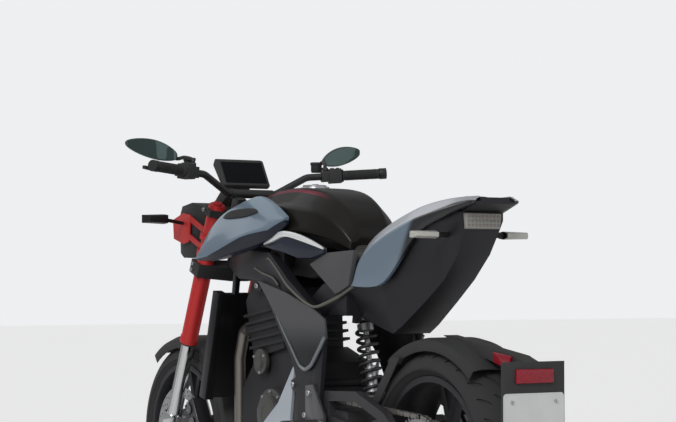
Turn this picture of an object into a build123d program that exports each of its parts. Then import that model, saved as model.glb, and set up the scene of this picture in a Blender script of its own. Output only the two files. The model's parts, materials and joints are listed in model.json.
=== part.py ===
from build123d import *
import os
from math import asin, atan2, cos, hypot, pi, radians, sin, tan

# Standard motorcycle, mm. +X forward, +Y to the rider's left, +Z up, floor at z = 0.
# Places are measured from a point on the floor under the engine, and saved from the middle of the length.

# Chassis datum and wheels
pivot_x, pivot_z = -150.0, 415.0
swingarm_run = 500.0
front_run = 940.0
front_tyre_r, front_tyre_w, front_crown = 300.0, 120.0, 50.0
rear_tyre_r, rear_tyre_w, rear_crown = 312.0, 180.0, 60.0
rear_lift = 3.0
rear_axle_x, rear_axle_z = pivot_x - swingarm_run, rear_tyre_r + rear_lift
front_axle_x, front_axle_z = pivot_x + front_run, front_tyre_r
seat_r, flange_h, rim_t = 219.0, 10.0, 15.0
flange_r, rim_inner_r = seat_r + flange_h, seat_r - rim_t
front_rim_half, rear_rim_half, flange_t = 48.0, 69.0, 4.0
spoke_count, spoke_t = 5, 26.0
hub_r, front_hub_half, rear_hub_half = 44.0, 60.0, 62.0
axle_r, axle_fit = 12.5, 0.05
clear = 0.3

# Brakes
front_disc_r, rear_disc_r, disc_t, disc_band = 155.0, 110.0, 5.0, 34.0
carrier_inner_r, carrier_outer_r, carrier_arms = 27.0, 58.0, 6
rear_disc_y, disc_gap = -83.0, 2.5

# Chain drive
chain_pitch, rear_teeth, front_teeth = 15.875, 48, 16
sprocket_y, sprocket_t = 108.0, 7.0
chain_half_w, strap_t, strap_h, pin_r = 9.5, 2.5, 14.0, 5.0
output_x, output_z = -65.0, 430.0

# Steering and fork
rake, fork_offset, leg_y = 23.5, 32.0, 105.0
tube_r, stanchion_r = 27.0, 21.5
tube_low, tube_high = 330.0, 800.0
stanchion_top = 415.0
lower_yoke_z, lower_yoke_t = 565.0, 44.0
upper_yoke_z, upper_yoke_t = 770.0, 22.0
stem_r, stem_fit, head_r = 15.0, 0.05, 33.0
foot_low, foot_high, foot_in, foot_out = -38.0, 78.0, 80.0, 128.0
foot_back, foot_front, ear_l = 33.0, 25.0, 50.0
fender_gap, fender_t, fender_half = 13.0, 3.0, 66.0

# Bar and what it carries
bar_r, bar_end_r = 14.0, 11.1
bar_rise = [(437.0, 0.0, 1072.0), (437.0, 85.0, 1072.0), (408.0, 185.0, 1128.0), (312.0, 400.0, 1142.0)]
grip_r, grip_len = 16.5, 120.0
perch_back, perch_half = 46.0, 17.0

lamp_x, lamp_half, stay_t = 790.0, 98.0, 6.0

# Frame, chassis widths and stands
plate_in, plate_out = 146.0, 160.0
arm_in, arm_out = 121.0, 145.0
pivot_r = 26.0
shock_low_x, shock_low_z, shock_top_x, shock_top_z = -262.0, 466.0, -215.0, 690.0
shock_eye_r, shock_eye_half = 13.0, 26.0
head_half, head_reach = 58.0, 76.0
rail_x, rail_z, rail_in = -125.0, 712.0, 92.0
bobbin_x, bobbin_z, bobbin_r, bobbin_depth = -575.0, 305.0, 4.0, 18.0
stand_x, stand_z, stand_pin_r, stand_pin_fit = -170.0, 300.0, 9.0, 0.05
stand_foot_x, stand_leg_y = -140.0, 122.0
side_stand_x, side_stand_z, side_stand_len = -130.0, 312.0, 275.0
side_stand_tilt, side_pin_r = 16.6, 6.0

# Engine mounts and exhaust
mount_x, mount_z, mount_r = -84.0, 500.0, 12.0
top_mount_x, top_mount_z, top_mount_y = 182.0, 784.0, 111.7
port_x, port_z, port_r, port_ys = 292.0, 650.0, 18.0, (-82.0, 0.0, 82.0)
muffler_x, muffler_y = -66.0, -224.0
pan_in, pan_low, pan_t = 138.0, 168.0, 10.0
rad_x, rad_z, rad_lean, rad_lug_y = 405.0, 600.0, 15.0, 92.0
rad_h, rad_half, rad_t, rad_fins = 340.0, 150.0, 26.0, 11

# Rear end
signal_root = 71.5
plate_x, plate_half, plate_low, plate_high = -1005.0, 100.0, 380.0, 592.0
plate_bolt_y, plate_bolt_z, plate_bolt_r = 70.0, 490.0, 3.5
reflector_t = 8.0
guard_half, stay_y, arm_half = 84.0, 95.0, 24.0

# Tail: the panels' top edge is a curve from a low point in front to a crest near the tip
strip_x, strip_z, crest_x, crest_z = -367.0, 892.0, -800.0, 1022.0
tail_front_x, tail_front_half, tail_end_x, tail_end_half = -310.0, 138.0, -845.0, 78.0
tail_face_x, seat_end_x, seat_split_x, seat_nose_x = -784.0, -768.0, -462.0, -272.0
lens_low, lens_high = 934.0, 978.0
panel_t, lip_in, top_drop, tank_low = 14.0, 30.0, 42.0, 896.0
rail_out = tail_front_half - panel_t - clear
cap_x, cap_z, cap_r, cap_t = 55.0, 1069.0, 34.0, 14.0
hinge_x, hinge_z, hinge_r, hinge_fit = cap_x + cap_r + 6, cap_z + cap_t - 2, 2.0, 0.05

# The origin lies midway between the front tyre and the reflector on the plate holder
middle_x = (front_axle_x + front_tyre_r + plate_x - reflector_t) / 2

front_axle = Vector(front_axle_x, 0, front_axle_z)
rear_axle = Vector(rear_axle_x, 0, rear_axle_z)
c_rake, s_rake = cos(radians(rake)), sin(radians(rake))
steer = Plane(
    origin=(front_axle_x - fork_offset * c_rake, 0, front_axle_z - fork_offset * s_rake),
    x_dir=(c_rake, 0, s_rake),
    z_dir=(-s_rake, 0, c_rake),
)


def side_plane(y=0.0):
    """Plane seen from the right: local x is X, local y is Z."""
    return Plane(origin=(0, y, 0), x_dir=(1, 0, 0), z_dir=(0, -1, 0))


def plate(points, y0, y1):
    """A plate with a side-view outline, from y0 to y1."""
    face = side_plane(y0) * make_face(Polyline(*points, close=True))
    return extrude(face, amount=y1 - y0, dir=(0, 1, 0))


def barrel(x, z, r, y0, y1):
    """A cylinder across the machine, from y0 to y1."""
    return extrude(Plane(origin=(x, y0, z), z_dir=(0, 1, 0)) * Circle(r), amount=y1 - y0)


def both(shape):
    """A left piece and its mirror image on the right."""
    return Compound(children=list(shape.solids()) + list(mirror(shape, about=Plane.XZ).solids()))


def stations(rings):
    """A solid with flat facets through rings of corner points."""
    return Solid.make_loft([Wire.make_polygon(r, close=True) for r in rings], ruled=True)


def tube(points, r, bend):
    """A round tube along straight runs with rounded corners."""
    path = FilletPolyline(*points, radius=bend) if len(points) > 2 else Line(*points)
    return sweep(Plane(origin=path @ 0, z_dir=path % 0) * Circle(r), path=path)


def rod(a, b, r):
    """A straight round bar from a to b."""
    a, b = Vector(*a), Vector(*b)
    return extrude(Plane(origin=a, z_dir=b - a) * Circle(r), amount=(b - a).length)


def wheel_plane(axle, y=0.0):
    """Plane across a wheel with local y upwards and its normal to the right."""
    return Plane(origin=(axle.X, y, axle.Z), x_dir=(1, 0, 0), z_dir=(0, -1, 0))


def profile_plane(axle):
    """Plane through an axle: local x is Y, local y is the radius."""
    return Plane(origin=axle, x_dir=(0, 1, 0), z_dir=(1, 0, 0))


def ring_of(axle, outline):
    """A full turn of a closed outline about an axle."""
    return revolve(profile_plane(axle) * make_face(outline), axis=Axis(axle, (0, 1, 0)))


# Wheels


def tyre(axle, radius, width, crown, rim_half):
    half, edge = width / 2, radius - crown
    base = Polyline(
        (half, edge), (rim_half, flange_r + 1), (rim_half, seat_r),
        (-rim_half, seat_r), (-rim_half, flange_r + 1), (-half, edge),
    )
    tread = ThreePointArc((-half, edge), (0, radius), (half, edge))
    return ring_of(axle, base + tread)


def cast_wheel(axle, rim_half, hub_half):
    lip, well = rim_half + clear + flange_t, rim_half + clear
    barrel_r = seat_r - clear
    right = [(lip, flange_r), (well, flange_r), (well, barrel_r)]
    left = [(-y, r) for y, r in reversed(right)]
    edge = [(lip, rim_inner_r + 8), (lip - 30, rim_inner_r)]
    under = [(-y, r) for y, r in edge] + edge[::-1]
    body = ring_of(axle, Polyline(*right, *left, *under, close=True))
    root, fork, tip = hub_r - 12, rim_inner_r - 78, rim_inner_r + 3
    arm = [(root, -17), (fork - 26, -13), (tip, -46), (tip, -27), (fork, 0)]
    outline = arm + [(x, -y) for x, y in reversed(arm[:-1])]
    spoke = extrude(make_face(Polyline(*outline, close=True)), amount=spoke_t / 2, both=True)
    for turn in range(spoke_count):
        body += wheel_plane(axle) * Rot(0, 0, 90 + 360 / spoke_count * turn) * spoke
    body += barrel(axle.X, axle.Z, hub_r, -hub_half, hub_half)
    return body - barrel(axle.X, axle.Z, axle_r + axle_fit, -hub_half - 60, hub_half + 60)


def brake_disc(axle, radius, y0, y1):
    rotor = Circle(radius) - Circle(radius - disc_band)
    spider = Circle(carrier_outer_r) - Circle(carrier_inner_r)
    reach = radius - disc_band - carrier_outer_r + 8
    for turn in range(carrier_arms):
        place = Rot(0, 0, 360 / carrier_arms * turn) * Pos(carrier_outer_r - 4 + reach / 2, 0)
        spider += place * Rectangle(reach, 16)
    return extrude(wheel_plane(axle, y0) * (rotor + spider), amount=y1 - y0, dir=(0, 1, 0))


def front_discs():
    return both(brake_disc(front_axle, front_disc_r, front_hub_half, front_hub_half + disc_t))


def rear_wheel():
    wheel = cast_wheel(rear_axle, rear_rim_half, rear_hub_half)
    wheel += barrel(rear_axle.X, rear_axle.Z, 56, 40, sprocket_y - sprocket_t / 2)
    wheel += barrel(rear_axle.X, rear_axle.Z, 50, rear_disc_y, -40)
    return wheel - barrel(rear_axle.X, rear_axle.Z, axle_r + axle_fit, -200, 200)


# Chain and sprockets


def pitch_radius(teeth):
    return chain_pitch / 2 / sin(pi / teeth)


def chain_turns():
    """Angles of the pins held by the rear sprocket and by the front one."""
    dx, dz = output_x - rear_axle_x, output_z - rear_axle_z
    tilt = atan2(dz, dx)
    lean = asin((pitch_radius(rear_teeth) - pitch_radius(front_teeth)) / hypot(dx, dz))
    top, bottom = tilt + pi / 2 - lean, tilt - pi / 2 + lean
    rear_step, front_step = 2 * pi / rear_teeth, 2 * pi / front_teeth
    rear_count = int((2 * pi - (top - bottom)) / rear_step)
    front_count = int((top - bottom) / front_step)
    start = (top + bottom) / 2 - front_count * front_step / 2
    rear = [top + k * rear_step for k in range(rear_count + 1)]
    return rear, [start + k * front_step for k in range(front_count + 1)]


def chain_corners(out):
    """Corners of the chain's loop, a distance outside its pins."""
    rear, front = chain_turns()
    big, small = pitch_radius(rear_teeth) + out, pitch_radius(front_teeth) + out
    points = [(rear_axle_x + big * cos(a), rear_axle_z + big * sin(a)) for a in rear]
    return points + [(output_x + small * cos(a), output_z + small * sin(a)) for a in front], len(rear)


def straight_pins(a, b):
    """Pins between two others, at about the chain's pitch."""
    count = round(hypot(b[0] - a[0], b[1] - a[1]) / chain_pitch)
    return [(a[0] + (b[0] - a[0]) * k / count, a[1] + (b[1] - a[1]) * k / count) for k in range(1, count)]


def chain():
    corners, rear_count = chain_corners(0)
    pins = corners + straight_pins(corners[rear_count - 1], corners[rear_count])
    pins += straight_pins(corners[-1], corners[0])
    edge, hole = [
        make_face(Polyline(*chain_corners(out)[0], close=True)) for out in (strap_h / 2, -strap_h / 2)
    ]
    loop = None
    for y in (sprocket_y - chain_half_w, sprocket_y + chain_half_w - strap_t):
        strap = extrude(side_plane(y) * (edge - hole), amount=strap_t, dir=(0, 1, 0))
        loop = strap if loop is None else loop + strap
    faces = [side_plane(sprocket_y) * Pos(x, z) * RegularPolygon(pin_r, 6) for x, z in pins]
    return loop + [extrude(f, amount=chain_half_w - strap_t / 2, both=True) for f in faces]


def sprocket(x, z, teeth, first, hole_r):
    """A toothed plate whose gaps hold the chain's pins."""
    radius, step = pitch_radius(teeth), 2 * pi / teeth
    root, tip = radius - pin_r - 0.6, radius + 4.5
    gap = 4.8 / root
    points = []
    for k in range(teeth):
        seat = first + k * step
        points += [(root, seat - gap), (root, seat + gap)]
        points += [(tip, seat + step / 2 - 1.2 / tip), (tip, seat + step / 2 + 1.2 / tip)]
    face = make_face(Polyline(*[(r * cos(a), r * sin(a)) for r, a in points], close=True))
    if hole_r:
        face -= Circle(hole_r)
    place = Plane(origin=(x, sprocket_y - sprocket_t / 2, z), x_dir=(1, 0, 0), z_dir=(0, -1, 0))
    return extrude(place * face, amount=sprocket_t, dir=(0, 1, 0))


def rear_sprocket():
    wheel = sprocket(rear_axle_x, rear_axle_z, rear_teeth, chain_turns()[0][0], 40)
    window = extrude(Pos(78, 0) * Circle(14), amount=200, both=True)
    for turn in range(5):
        wheel -= wheel_plane(rear_axle) * Rot(0, 0, 72 * turn) * window
    return wheel


# Fork and steering


def fork_yokes():
    def clamp(z, t):
        arm = [(-20, -30), (8, -leg_y - 34), (fork_offset + 30, -leg_y - 34), (48, -40), (48, 40)]
        arm += [(fork_offset + 30, leg_y + 34), (8, leg_y + 34), (-20, 30)]
        body = extrude(Pos(0, 0, z) * make_face(Polyline(*arm, close=True)), amount=t)
        for side in (-1, 1):
            body -= Pos(fork_offset, side * leg_y, z + t / 2) * Cylinder(tube_r + clear, 3 * t)
        return body

    body = clamp(lower_yoke_z, lower_yoke_t) + clamp(upper_yoke_z, upper_yoke_t)
    stem_top = upper_yoke_z + upper_yoke_t + 8
    body += Pos(0, 0, (lower_yoke_z + stem_top) / 2) * Cylinder(stem_r, stem_top - lower_yoke_z)
    for side in (-1, 1):
        body += Pos(-5, side * 52, upper_yoke_z + upper_yoke_t + 26) * Box(36, 30, 52)
    whole = steer * body
    return whole - barrel(bar_rise[0][0], bar_rise[0][2], bar_r + clear, -150, 150)


def fork_tubes():
    z0, z1 = tube_low, tube_high
    leg = Pos(0, 0, (z0 + z1) / 2) * Cylinder(tube_r, z1 - z0)
    leg += Pos(0, 0, z0 + 12) * Cylinder(tube_r + 2.5, 24)
    leg -= Pos(0, 0, z0) * Cylinder(stanchion_r + clear, 2 * (stanchion_top - z0) + 4)
    return both(steer * Pos(fork_offset, leg_y, 0) * leg)


def fork_sliders():
    foot_y = (foot_in + foot_out) / 2 - leg_y
    foot = Pos((foot_front - foot_back) / 2, foot_y, (foot_low + foot_high) / 2)
    foot *= Box(foot_front + foot_back, foot_out - foot_in, foot_high - foot_low)
    leg = foot + Pos(0, 0, (foot_high + stanchion_top) / 2) * Cylinder(stanchion_r, stanchion_top - foot_high)
    solid = steer * Pos(fork_offset, leg_y, 0) * leg
    return both(solid - barrel(front_axle_x, front_axle_z, axle_r + 0.1, 0, 200))


def front_axle_rod():
    rod_solid = barrel(front_axle_x, front_axle_z, axle_r, -foot_out - 6, foot_out + 6)
    for side in (-1, 1):
        inner, outer = side * (front_hub_half + 1), side * foot_in
        rod_solid += barrel(front_axle_x, front_axle_z, 20, min(inner, outer), max(inner, outer))
    return rod_solid - barrel(front_axle_x, front_axle_z, 7, -200, 200)


def caliper(axle, disc_r, disc_y, angle, y0, y1):
    """A block over the disc's edge, slotted for the disc, at an angle round the axle."""
    place = wheel_plane(axle) * Rot(0, 0, angle)
    reach = disc_r + 5
    body = Pos(disc_r - 12, 0) * Rectangle(60, 96)
    slot = Pos(reach / 2, 0) * Rectangle(reach, 120)
    block = extrude(Pos(0, 0, -y1) * body, amount=y1 - y0)
    gap = extrude(Pos(0, 0, -disc_y - disc_t / 2 - disc_gap) * slot, amount=disc_t + 2 * disc_gap)
    return place * (block - gap)


def front_calipers():
    y = front_hub_half + disc_t / 2
    body = caliper(front_axle, front_disc_r, y, 90 + rake + 38, y - 22, y + 28)
    ear_x, ear_in, ear_out = fork_offset - foot_back - clear - ear_l / 2, y + 10, foot_in + 14
    ear = Pos(ear_x, (ear_in + ear_out) / 2, 64) * Box(ear_l, ear_out - ear_in, 92)
    return both(body + steer * ear)


def fender():
    inner = front_tyre_r + fender_gap
    half = fender_half
    outline = Polyline(
        (-half, inner - 34), (-half, inner - 4), (-half + 26, inner + 8), (half - 26, inner + 8),
        (half, inner - 4), (half, inner - 34), (half - fender_t, inner - 34), (half - fender_t, inner - 6),
        (half - 27, inner + 5), (-half + 27, inner + 5), (-half + fender_t, inner - 6),
        (-half + fender_t, inner - 34), close=True,
    )
    face = profile_plane(front_axle) * make_face(outline)
    axis = Axis(front_axle, (0, 1, 0))
    shell = revolve(face.rotate(axis, -82), axis=axis, revolution_arc=118)
    for side in (-1, 1):
        outer = leg_y - stanchion_r - clear
        arm = Pos(fork_offset, side * (half - 2 + outer) / 2, inner - 22) * Box(30, outer - half + 2, 30)
        shell += steer * arm
    return shell


# Bar, mirrors and lamps


def bar_path(side):
    return [(x, side * y, z) for x, y, z in bar_rise]


def bar_frame(distance):
    """Plane on the left bar end, its normal outwards, at a distance from the bar's tip."""
    a, b = Vector(*bar_rise[2]), Vector(*bar_rise[3])
    run = (b - a).normalized()
    return Plane(origin=b - run * distance, x_dir=Vector(0, 0, 1).cross(run), z_dir=run)


def handlebar():
    left, right = bar_path(1)[1:], bar_path(-1)[1:]
    path = FilletPolyline(*reversed(right), *left, radius=45)
    bar = sweep(Plane(origin=path @ 0, z_dir=path % 0) * Circle(bar_end_r), path=path)
    bar += barrel(bar_rise[0][0], bar_rise[0][2], bar_r, -74, 74)
    weight = bar_frame(0) * Pos(0, 0, 10) * Cylinder(grip_r + 1, 22)
    return bar + weight + mirror(weight, about=Plane.XZ)


def grips():
    sleeve = Pos(0, 0, grip_len / 2) * Cylinder(grip_r, grip_len - 4)
    return both(bar_frame(grip_len) * (sleeve - Cylinder(bar_end_r + clear, 3 * grip_len)))


def bar_controls():
    box = Pos(0, 0, 21) * Box(40, 46, 40) - Cylinder(bar_end_r + clear, 300)
    perch = Pos(0, 0, -10) * Box(2 * perch_half, 2 * perch_half, 24) - Cylinder(bar_end_r + clear, 300)
    perch += Pos(-38, 0, -10) * Box(50, 20, 18)
    lever = [(-48, -16), (-66, 8), (-76, 90), (-60, 160), (-50, 160), (-64, 88), (-52, 8), (-42, -4)]
    return both(bar_frame(grip_len + perch_back) * (box + perch + plate(lever, -5, 5)))


def mirrors():
    table = [
        # y, x back, x front, z low, z high
        (262, 432, 448, 1170, 1194), (290, 438, 456, 1166, 1214), (336, 443, 465, 1168, 1236),
        (392, 455, 472, 1188, 1238), (428, 465, 476, 1212, 1228),
    ]
    head = stations([[(a, y, z0), (b, y, z0 + 2), (b, y, z1 + 2), (a, y, z1)] for y, a, b, z0, z1 in table])
    place = bar_frame(grip_len + perch_back)
    foot = place * Pos(0, perch_half + clear + 9, -10) * Rot(90, 0, 0) * Cylinder(8, 18)
    stalk = rod(foot.center(), (450, 290, 1186), 6)
    return both(head + stalk + foot)


def lamp_shell(columns):
    """A shell across the machine through sections of a width low and high."""
    return stations([[(x, -a, z0), (x, -b, z1), (x, b, z1), (x, a, z0)] for x, a, b, z0, z1 in columns])


def headlamp():
    """The lamp's shell, with a round boss on each side that seats on its stay."""
    shell = lamp_shell([
        # x, half width low, half width high, z low, z high
        (600, 70, 78, 895, 1035),
        (650, 92, lamp_half, 872, 1050),
        (720, 90, 96, 874, 1040),
        (768, 76, 80, 890, 1010),
        (lamp_x, 62, 66, 905, 985),
    ])
    return shell + both(barrel(700, 965, 15, lamp_half / 2, lamp_half + clear))


def lamp_stays():
    """A plate on each side of the headlamp, held on the fork tube by two arms."""
    inner = lamp_half + clear
    outline = [(660, 925), (650, 1008), (700, 1018), (770, 998), (764, 936), (700, 918)]
    stay = plate(outline, inner, inner + stay_t)
    for z in (640, 695):
        clamp = Pos(fork_offset, leg_y, z) * Cylinder(tube_r + 7, 18)
        clamp += Pos(fork_offset + 96, inner + stay_t / 2, z) * Box(150, stay_t, 18)
        stay += steer * (clamp - Pos(fork_offset, leg_y, z) * Cylinder(tube_r + clear, 60))
    return both(stay)


def instruments():
    """A display that leans back over the bar, on a post from the headlamp."""
    body = plate([(462, 1100), (478, 1090), (540, 1166), (528, 1186), (510, 1182)], -84, 84)
    return body + plate([(486, 1096), (518, 1140), (636, 1048), (600, 1036)], -30, 30)


def headlamp_lens():
    return lamp_shell([(lamp_x + clear, 56, 60, 909, 981), (lamp_x + 7, 50, 54, 915, 975)])


def front_signals():
    inner = lamp_half + clear + stay_t + 1.2
    stalk = rod((700, inner, 985), (698, 175, 996), 6)
    table = [
        # x, inner y, outer y, z low, z high
        (672, 172, 236, 984, 1010), (702, 172, 252, 981, 1013), (722, 176, 230, 987, 1007),
    ]
    lens = stations([[(x, a, z0), (x, b, z0 + 3), (x, b, z1 - 3), (x, a, z1)] for x, a, b, z0, z1 in table])
    return both(stalk + lens)


# Frame


def steering_head():
    low, high = lower_yoke_z + lower_yoke_t + 2, upper_yoke_z - 2
    body = Pos(0, 0, (low + high) / 2) * Cylinder(head_r, high - low)
    body += Pos(-62, 0, (low + high) / 2) * Box(90, 2 * head_half, high - low - 26)
    body -= Pos(0, 0, (low + high) / 2) * Cylinder(stem_r + stem_fit, 400)
    return steer * body


def spar_columns():
    """Sections of a frame spar from the steering head to the foot of the pivot plate."""
    top = steer.from_local_coords((-head_reach, 0, 742))
    low = steer.from_local_coords((-head_reach, 0, 640))
    return [
        # top x, top z, low x, low z, inner y, outer y
        (top.X, top.Z, low.X, low.Z, head_half + clear, head_half + 26),
        (250, 893, 285, 806, 98, 132),
        (59, 881, 112, 800, 122, 156),
        (-50, 804, 11, 675, 128, plate_out),
        (-200, 715, -70, 580, 138, plate_out),
        (-250, 640, -105, 505, plate_in, plate_out),
        (-228, 480, -96, 440, plate_in, plate_out),
        (-208, 330, -112, 330, plate_in, plate_out),
    ]


def spar_low(x):
    """Height of the spar's low edge at x, between the steering head and the head mount."""
    (_, _, x0, z0, _, _), (_, _, x1, z1, _, _) = spar_columns()[:2]
    return z0 + (z1 - z0) * (x - x0) / (x1 - x0)


def frame_spars():
    rings = [
        [(xt, a, zt), (xt, b, zt), (xl, b, zl), (xl, a, zl)] for xt, zt, xl, zl, a, b in spar_columns()
    ]
    spar = stations(rings)
    spar += plate([(-200, 331), (-112, 331), (-110, 298), (-150, 280), (-190, 280)], plate_in, plate_out)
    mount = [(-110, 530), (-98, 522), (-72, 512), (-68, 496), (-76, 486), (-110, 470)]
    spar += plate(mount, plate_in, plate_out)
    spar += plate([(148, 803), (216, 805), (200, 768), (164, 768)], top_mount_y + clear, top_mount_y + 14)
    spar += plate([(20, 845), (95, 860), (95, tank_low - clear), (20, tank_low - clear)], 96, 130)
    spar += barrel(rail_x, rail_z, 15, rail_out + clear, rail_out + 17)
    groove = [(170, 838), (58, 858), (-48, 778), (-196, 694), (-208, 668), (-60, 740), (40, 806)]
    spar -= plate(groove, plate_out - 6, plate_out + 10)
    spar -= barrel(stand_x, stand_z, stand_pin_r + stand_pin_fit, 100, 200)
    pin = side_stand_frame() * Pos(0, 0, -8) * Cylinder(side_pin_r, 32)
    return Compound(children=[(spar + pin).solids()[0], mirror(spar, about=Plane.XZ).solids()[0]])


def strip_height(x):
    """Height of the tail panels' top edge at x."""
    return crest_z - (crest_z - strip_z) * ((x - crest_x) / (strip_x - crest_x)) ** 2


def tail_half(x):
    """Outer half width of the tail at x."""
    share = (x - tail_front_x) / (tail_end_x - tail_front_x)
    return tail_front_half + (tail_end_half - tail_front_half) * share


def tail_columns():
    """Sections of the tail frame: x, low z, half width low, top z."""
    table = [(tail_front_x, 690, 62, 800), (-455, 652, 62, 838), (-500, 676, 60, 905)]
    for x, z, half in ((-600, 742, 54), (-682, 800, 50), (-750, 868, 52), (tail_face_x, 930, 58)):
        table.append((x, z, half, strip_height(x) - top_drop))
    return table


def tail_top(x):
    """Height of the tail frame's top at x."""
    table = tail_columns()
    for (x0, _, _, z0), (x1, _, _, z1) in zip(table, table[1:]):
        if x1 <= x <= x0:
            return z0 + (z1 - z0) * (x - x0) / (x1 - x0)
    return table[-1][-1]


def tail_frame():
    rings = []
    for x, z, half_low, top in tail_columns():
        half = tail_half(x) - panel_t - clear
        rings.append([(x, -half_low, z), (x, -half, top - 22), (x, -half, top), (x, half, top),
                      (x, half, top - 22), (x, half_low, z)])
    body = stations(rings)
    half = tail_half(tail_end_x) - panel_t - clear
    front, rear = seat_end_x - 3, tail_end_x
    hood = [(front, 970), (tail_face_x, lens_high + 2), (rear, 1000), (rear, strip_height(rear) - 14)]
    body += plate(hood + [(front, strip_height(front) - 26)], -half, half)
    crest = [(front, 980), (rear, 1002), (rear, strip_height(rear) - 4), (front, strip_height(front) - 2)]
    body += plate(crest, lip_in - panel_t - half, half + panel_t - lip_in)
    rail = [(-312, 700), (-312, 800), (-190, 790), (-100, 735), (-110, 690), (-200, 705)]
    x, z = shock_top_x, shock_top_z
    ear = [(-254, 704), (-254, 740), (x + 8, z + 14), (x + 12, z - 12), (x - 12, z - 14)]
    eye = shock_eye_half + clear
    for outline, inner, outer in ((rail, rail_in, rail_out), (ear, eye, eye + 9)):
        side = plate(outline, inner, outer)
        body += side + mirror(side, about=Plane.XZ)
    return body + plate([(-312, 700), (-312, 800), (-252, 795), (-252, 702)], -100, 100)


def side_panels():
    """Tail panels whose upper edge turns in over the frame as a strip."""
    thin = panel_t + 0.2
    columns = [(-349, 783, 787, thin), (-362, 782, 815, thin)]
    low_edge = [(-381, 781), (-465, 779), (-511, 809), (-592, 898), (-640, 940), (-740, 970)]
    for x, z in low_edge + [(tail_end_x, 1002)]:
        columns.append((x, z, strip_height(x), lip_in))
    rings = []
    for x, z, top, lip in columns:
        out = tail_half(x)
        band = min(34, (top - z) * 0.6)
        rings.append([
            (x, out - panel_t, z), (x, out - 3, z), (x, out, top - band), (x, out - 0.8 * lip, top),
            (x, out - lip, top - 1), (x, out - lip, top - band * 0.2), (x, out - panel_t, top - band * 0.7),
        ])
    return both(stations(rings))


def side_covers():
    """Covers on each side: below the seat, along the tank's low edge and over the frame's pivot plate."""
    seat_side = plate([(-140, 846), (-238, 878), (-374, 884), (-346, 786), (-300, 768), (-276, 762)],
                      rail_out + clear, rail_out + 16)
    columns = [
        # x, low z, top z, inner y
        (80, 896, 905, 150 + clear), (30, 888, 919, 150 + clear), (-22, 880, 943, 150 + clear),
        (-100, 862, 934, 147), (-170, 862, 914, 142), (-230, 876, 890, 138),
    ]
    tank_side = stations([
        [(x, y, z0), (x, y + 9, z0 + 3), (x, y + 11, (z0 + z1) / 2), (x, y + 9, z1 - 3), (x, y, z1)]
        for x, z0, z1, y in columns
    ])
    outline = [(112, 800), (-50, 764), (-205, 716), (-262, 690), (-272, 640), (-200, 560), (-160, 542),
               (-120, 560), (-70, 620), (-20, 672), (60, 752)]
    pivot_side = plate(outline, plate_out + clear, plate_out + 7)
    return both(Compound(children=[s.solids()[0] for s in (seat_side, tank_side, pivot_side)]))


def fuel_tank():
    columns = [
        # x, low z, half, mid z, half, shoulder z, half, top z, half
        (330, 905, 60, 940, 82, 985, 80, 1018, 45),
        (210, 900, 92, 945, 150, 1012, 134, 1058, 72),
        (90, tank_low, 110, 945, 150, 1020, 140, 1076, 80),
        (-50, tank_low, 110, 945, 150, 1020, 132, 1072, 75),
        (-170, tank_low - 4, 95, 932, 134, 990, 116, 1042, 62),
        (-236, 882, 82, 908, 100, 948, 92, 984, 55),
        (-268, 872, 70, 886, 82, 908, 78, 926, 50),
    ]
    rings = []
    for x, z0, a, z1, b, z2, c, z3, d in columns:
        left = [(x, a, z0), (x, b, z1), (x, c, z2), (x, d, z3)]
        rings.append(left + [(x, -y, z) for x, y, z in reversed(left)])
    body = stations(rings)
    body -= Pos(cap_x, 0, cap_z + 20) * Cylinder(cap_r + 3, 40)
    low = cap_z - 6
    high, inner, outer = hinge_z + 5, 11, 16
    outline = [(hinge_x - 5, low), (hinge_x + 8, low), (hinge_x + 5, high), (hinge_x - 5, high)]
    ear = plate(outline, inner, outer)
    ear += barrel(hinge_x, hinge_z, hinge_r, inner - 5, inner)
    return body + ear + mirror(ear, about=Plane.XZ)


def fuel_cap():
    lid = Pos(cap_x, 0, cap_z + clear + cap_t / 2) * Cylinder(cap_r, cap_t)
    back, low = hinge_x - 14, hinge_z - 4
    lid += plate([(back, low), (hinge_x, low), (hinge_x, hinge_z + 4), (back, hinge_z + 2)], -10, 10)
    lid += barrel(hinge_x, hinge_z, 4, -10, 10)
    bore = hinge_r + hinge_fit
    return lid - barrel(hinge_x, hinge_z, bore, 5, 20) - barrel(hinge_x, hinge_z, bore, -20, -5)


def tank_shrouds():
    flank = 150 + clear
    columns = [
        # x, low z, edge z, top z, inner y, low y, edge y, top y
        (391, 860, 864, 872, 204, 214, 226, 222),
        (318, 858, 872, 968, 180, 206, 228, 212),
        (250, 874, 892, 1012, flank, 200, 224, 198),
        (144, 894, 926, 1046, flank, 186, 214, 172),
        (100, 903, 935, 1056, flank, 180, 208, 164),
        (16, 926, 946, 1022, flank, 170, 194, 162),
        (-44, 962, 974, 986, flank, 158, 170, 160),
    ]
    rings = []
    for x, z0, z1, z2, inner, low, edge, top in columns:
        mid = ((edge + top) / 2 + 4, (z1 + z2) / 2)
        rings.append([(x, inner, z0), (x, inner, z2), (x, top, z2), (x, *mid), (x, edge, z1), (x, low, z0)])
    return both(stations(rings))


def seat(columns):
    """A pad on the tail frame between the panels, through sections of a top height."""
    rings = []
    for x, top in columns:
        half = min(tail_half(x), tail_front_half) - lip_in - 1.0
        if x > tail_front_x:
            half = 78 + (half - 78) * (seat_nose_x - x) / (seat_nose_x - tail_front_x)
        base = tail_top(min(x, tail_front_x)) + clear
        rings.append([(x, -half, base), (x, -half, top - 16), (x, -half + 22, top), (x, half - 22, top),
                      (x, half, top - 16), (x, half, base)])
    return stations(rings)


def rider_seat():
    return seat([(seat_nose_x, 906), (tail_front_x, 892), (-380, 882), (-430, 886), (seat_split_x, 902)])


def pillion_seat():
    front = seat_split_x - 2
    rest = [(x, strip_height(x) + 4) for x, *_ in tail_columns()[3:-1]]
    return seat([(front, 914), (-488, 958), (-500, 968), *rest, (seat_end_x, strip_height(seat_end_x) + 4)])


# Engine


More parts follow.
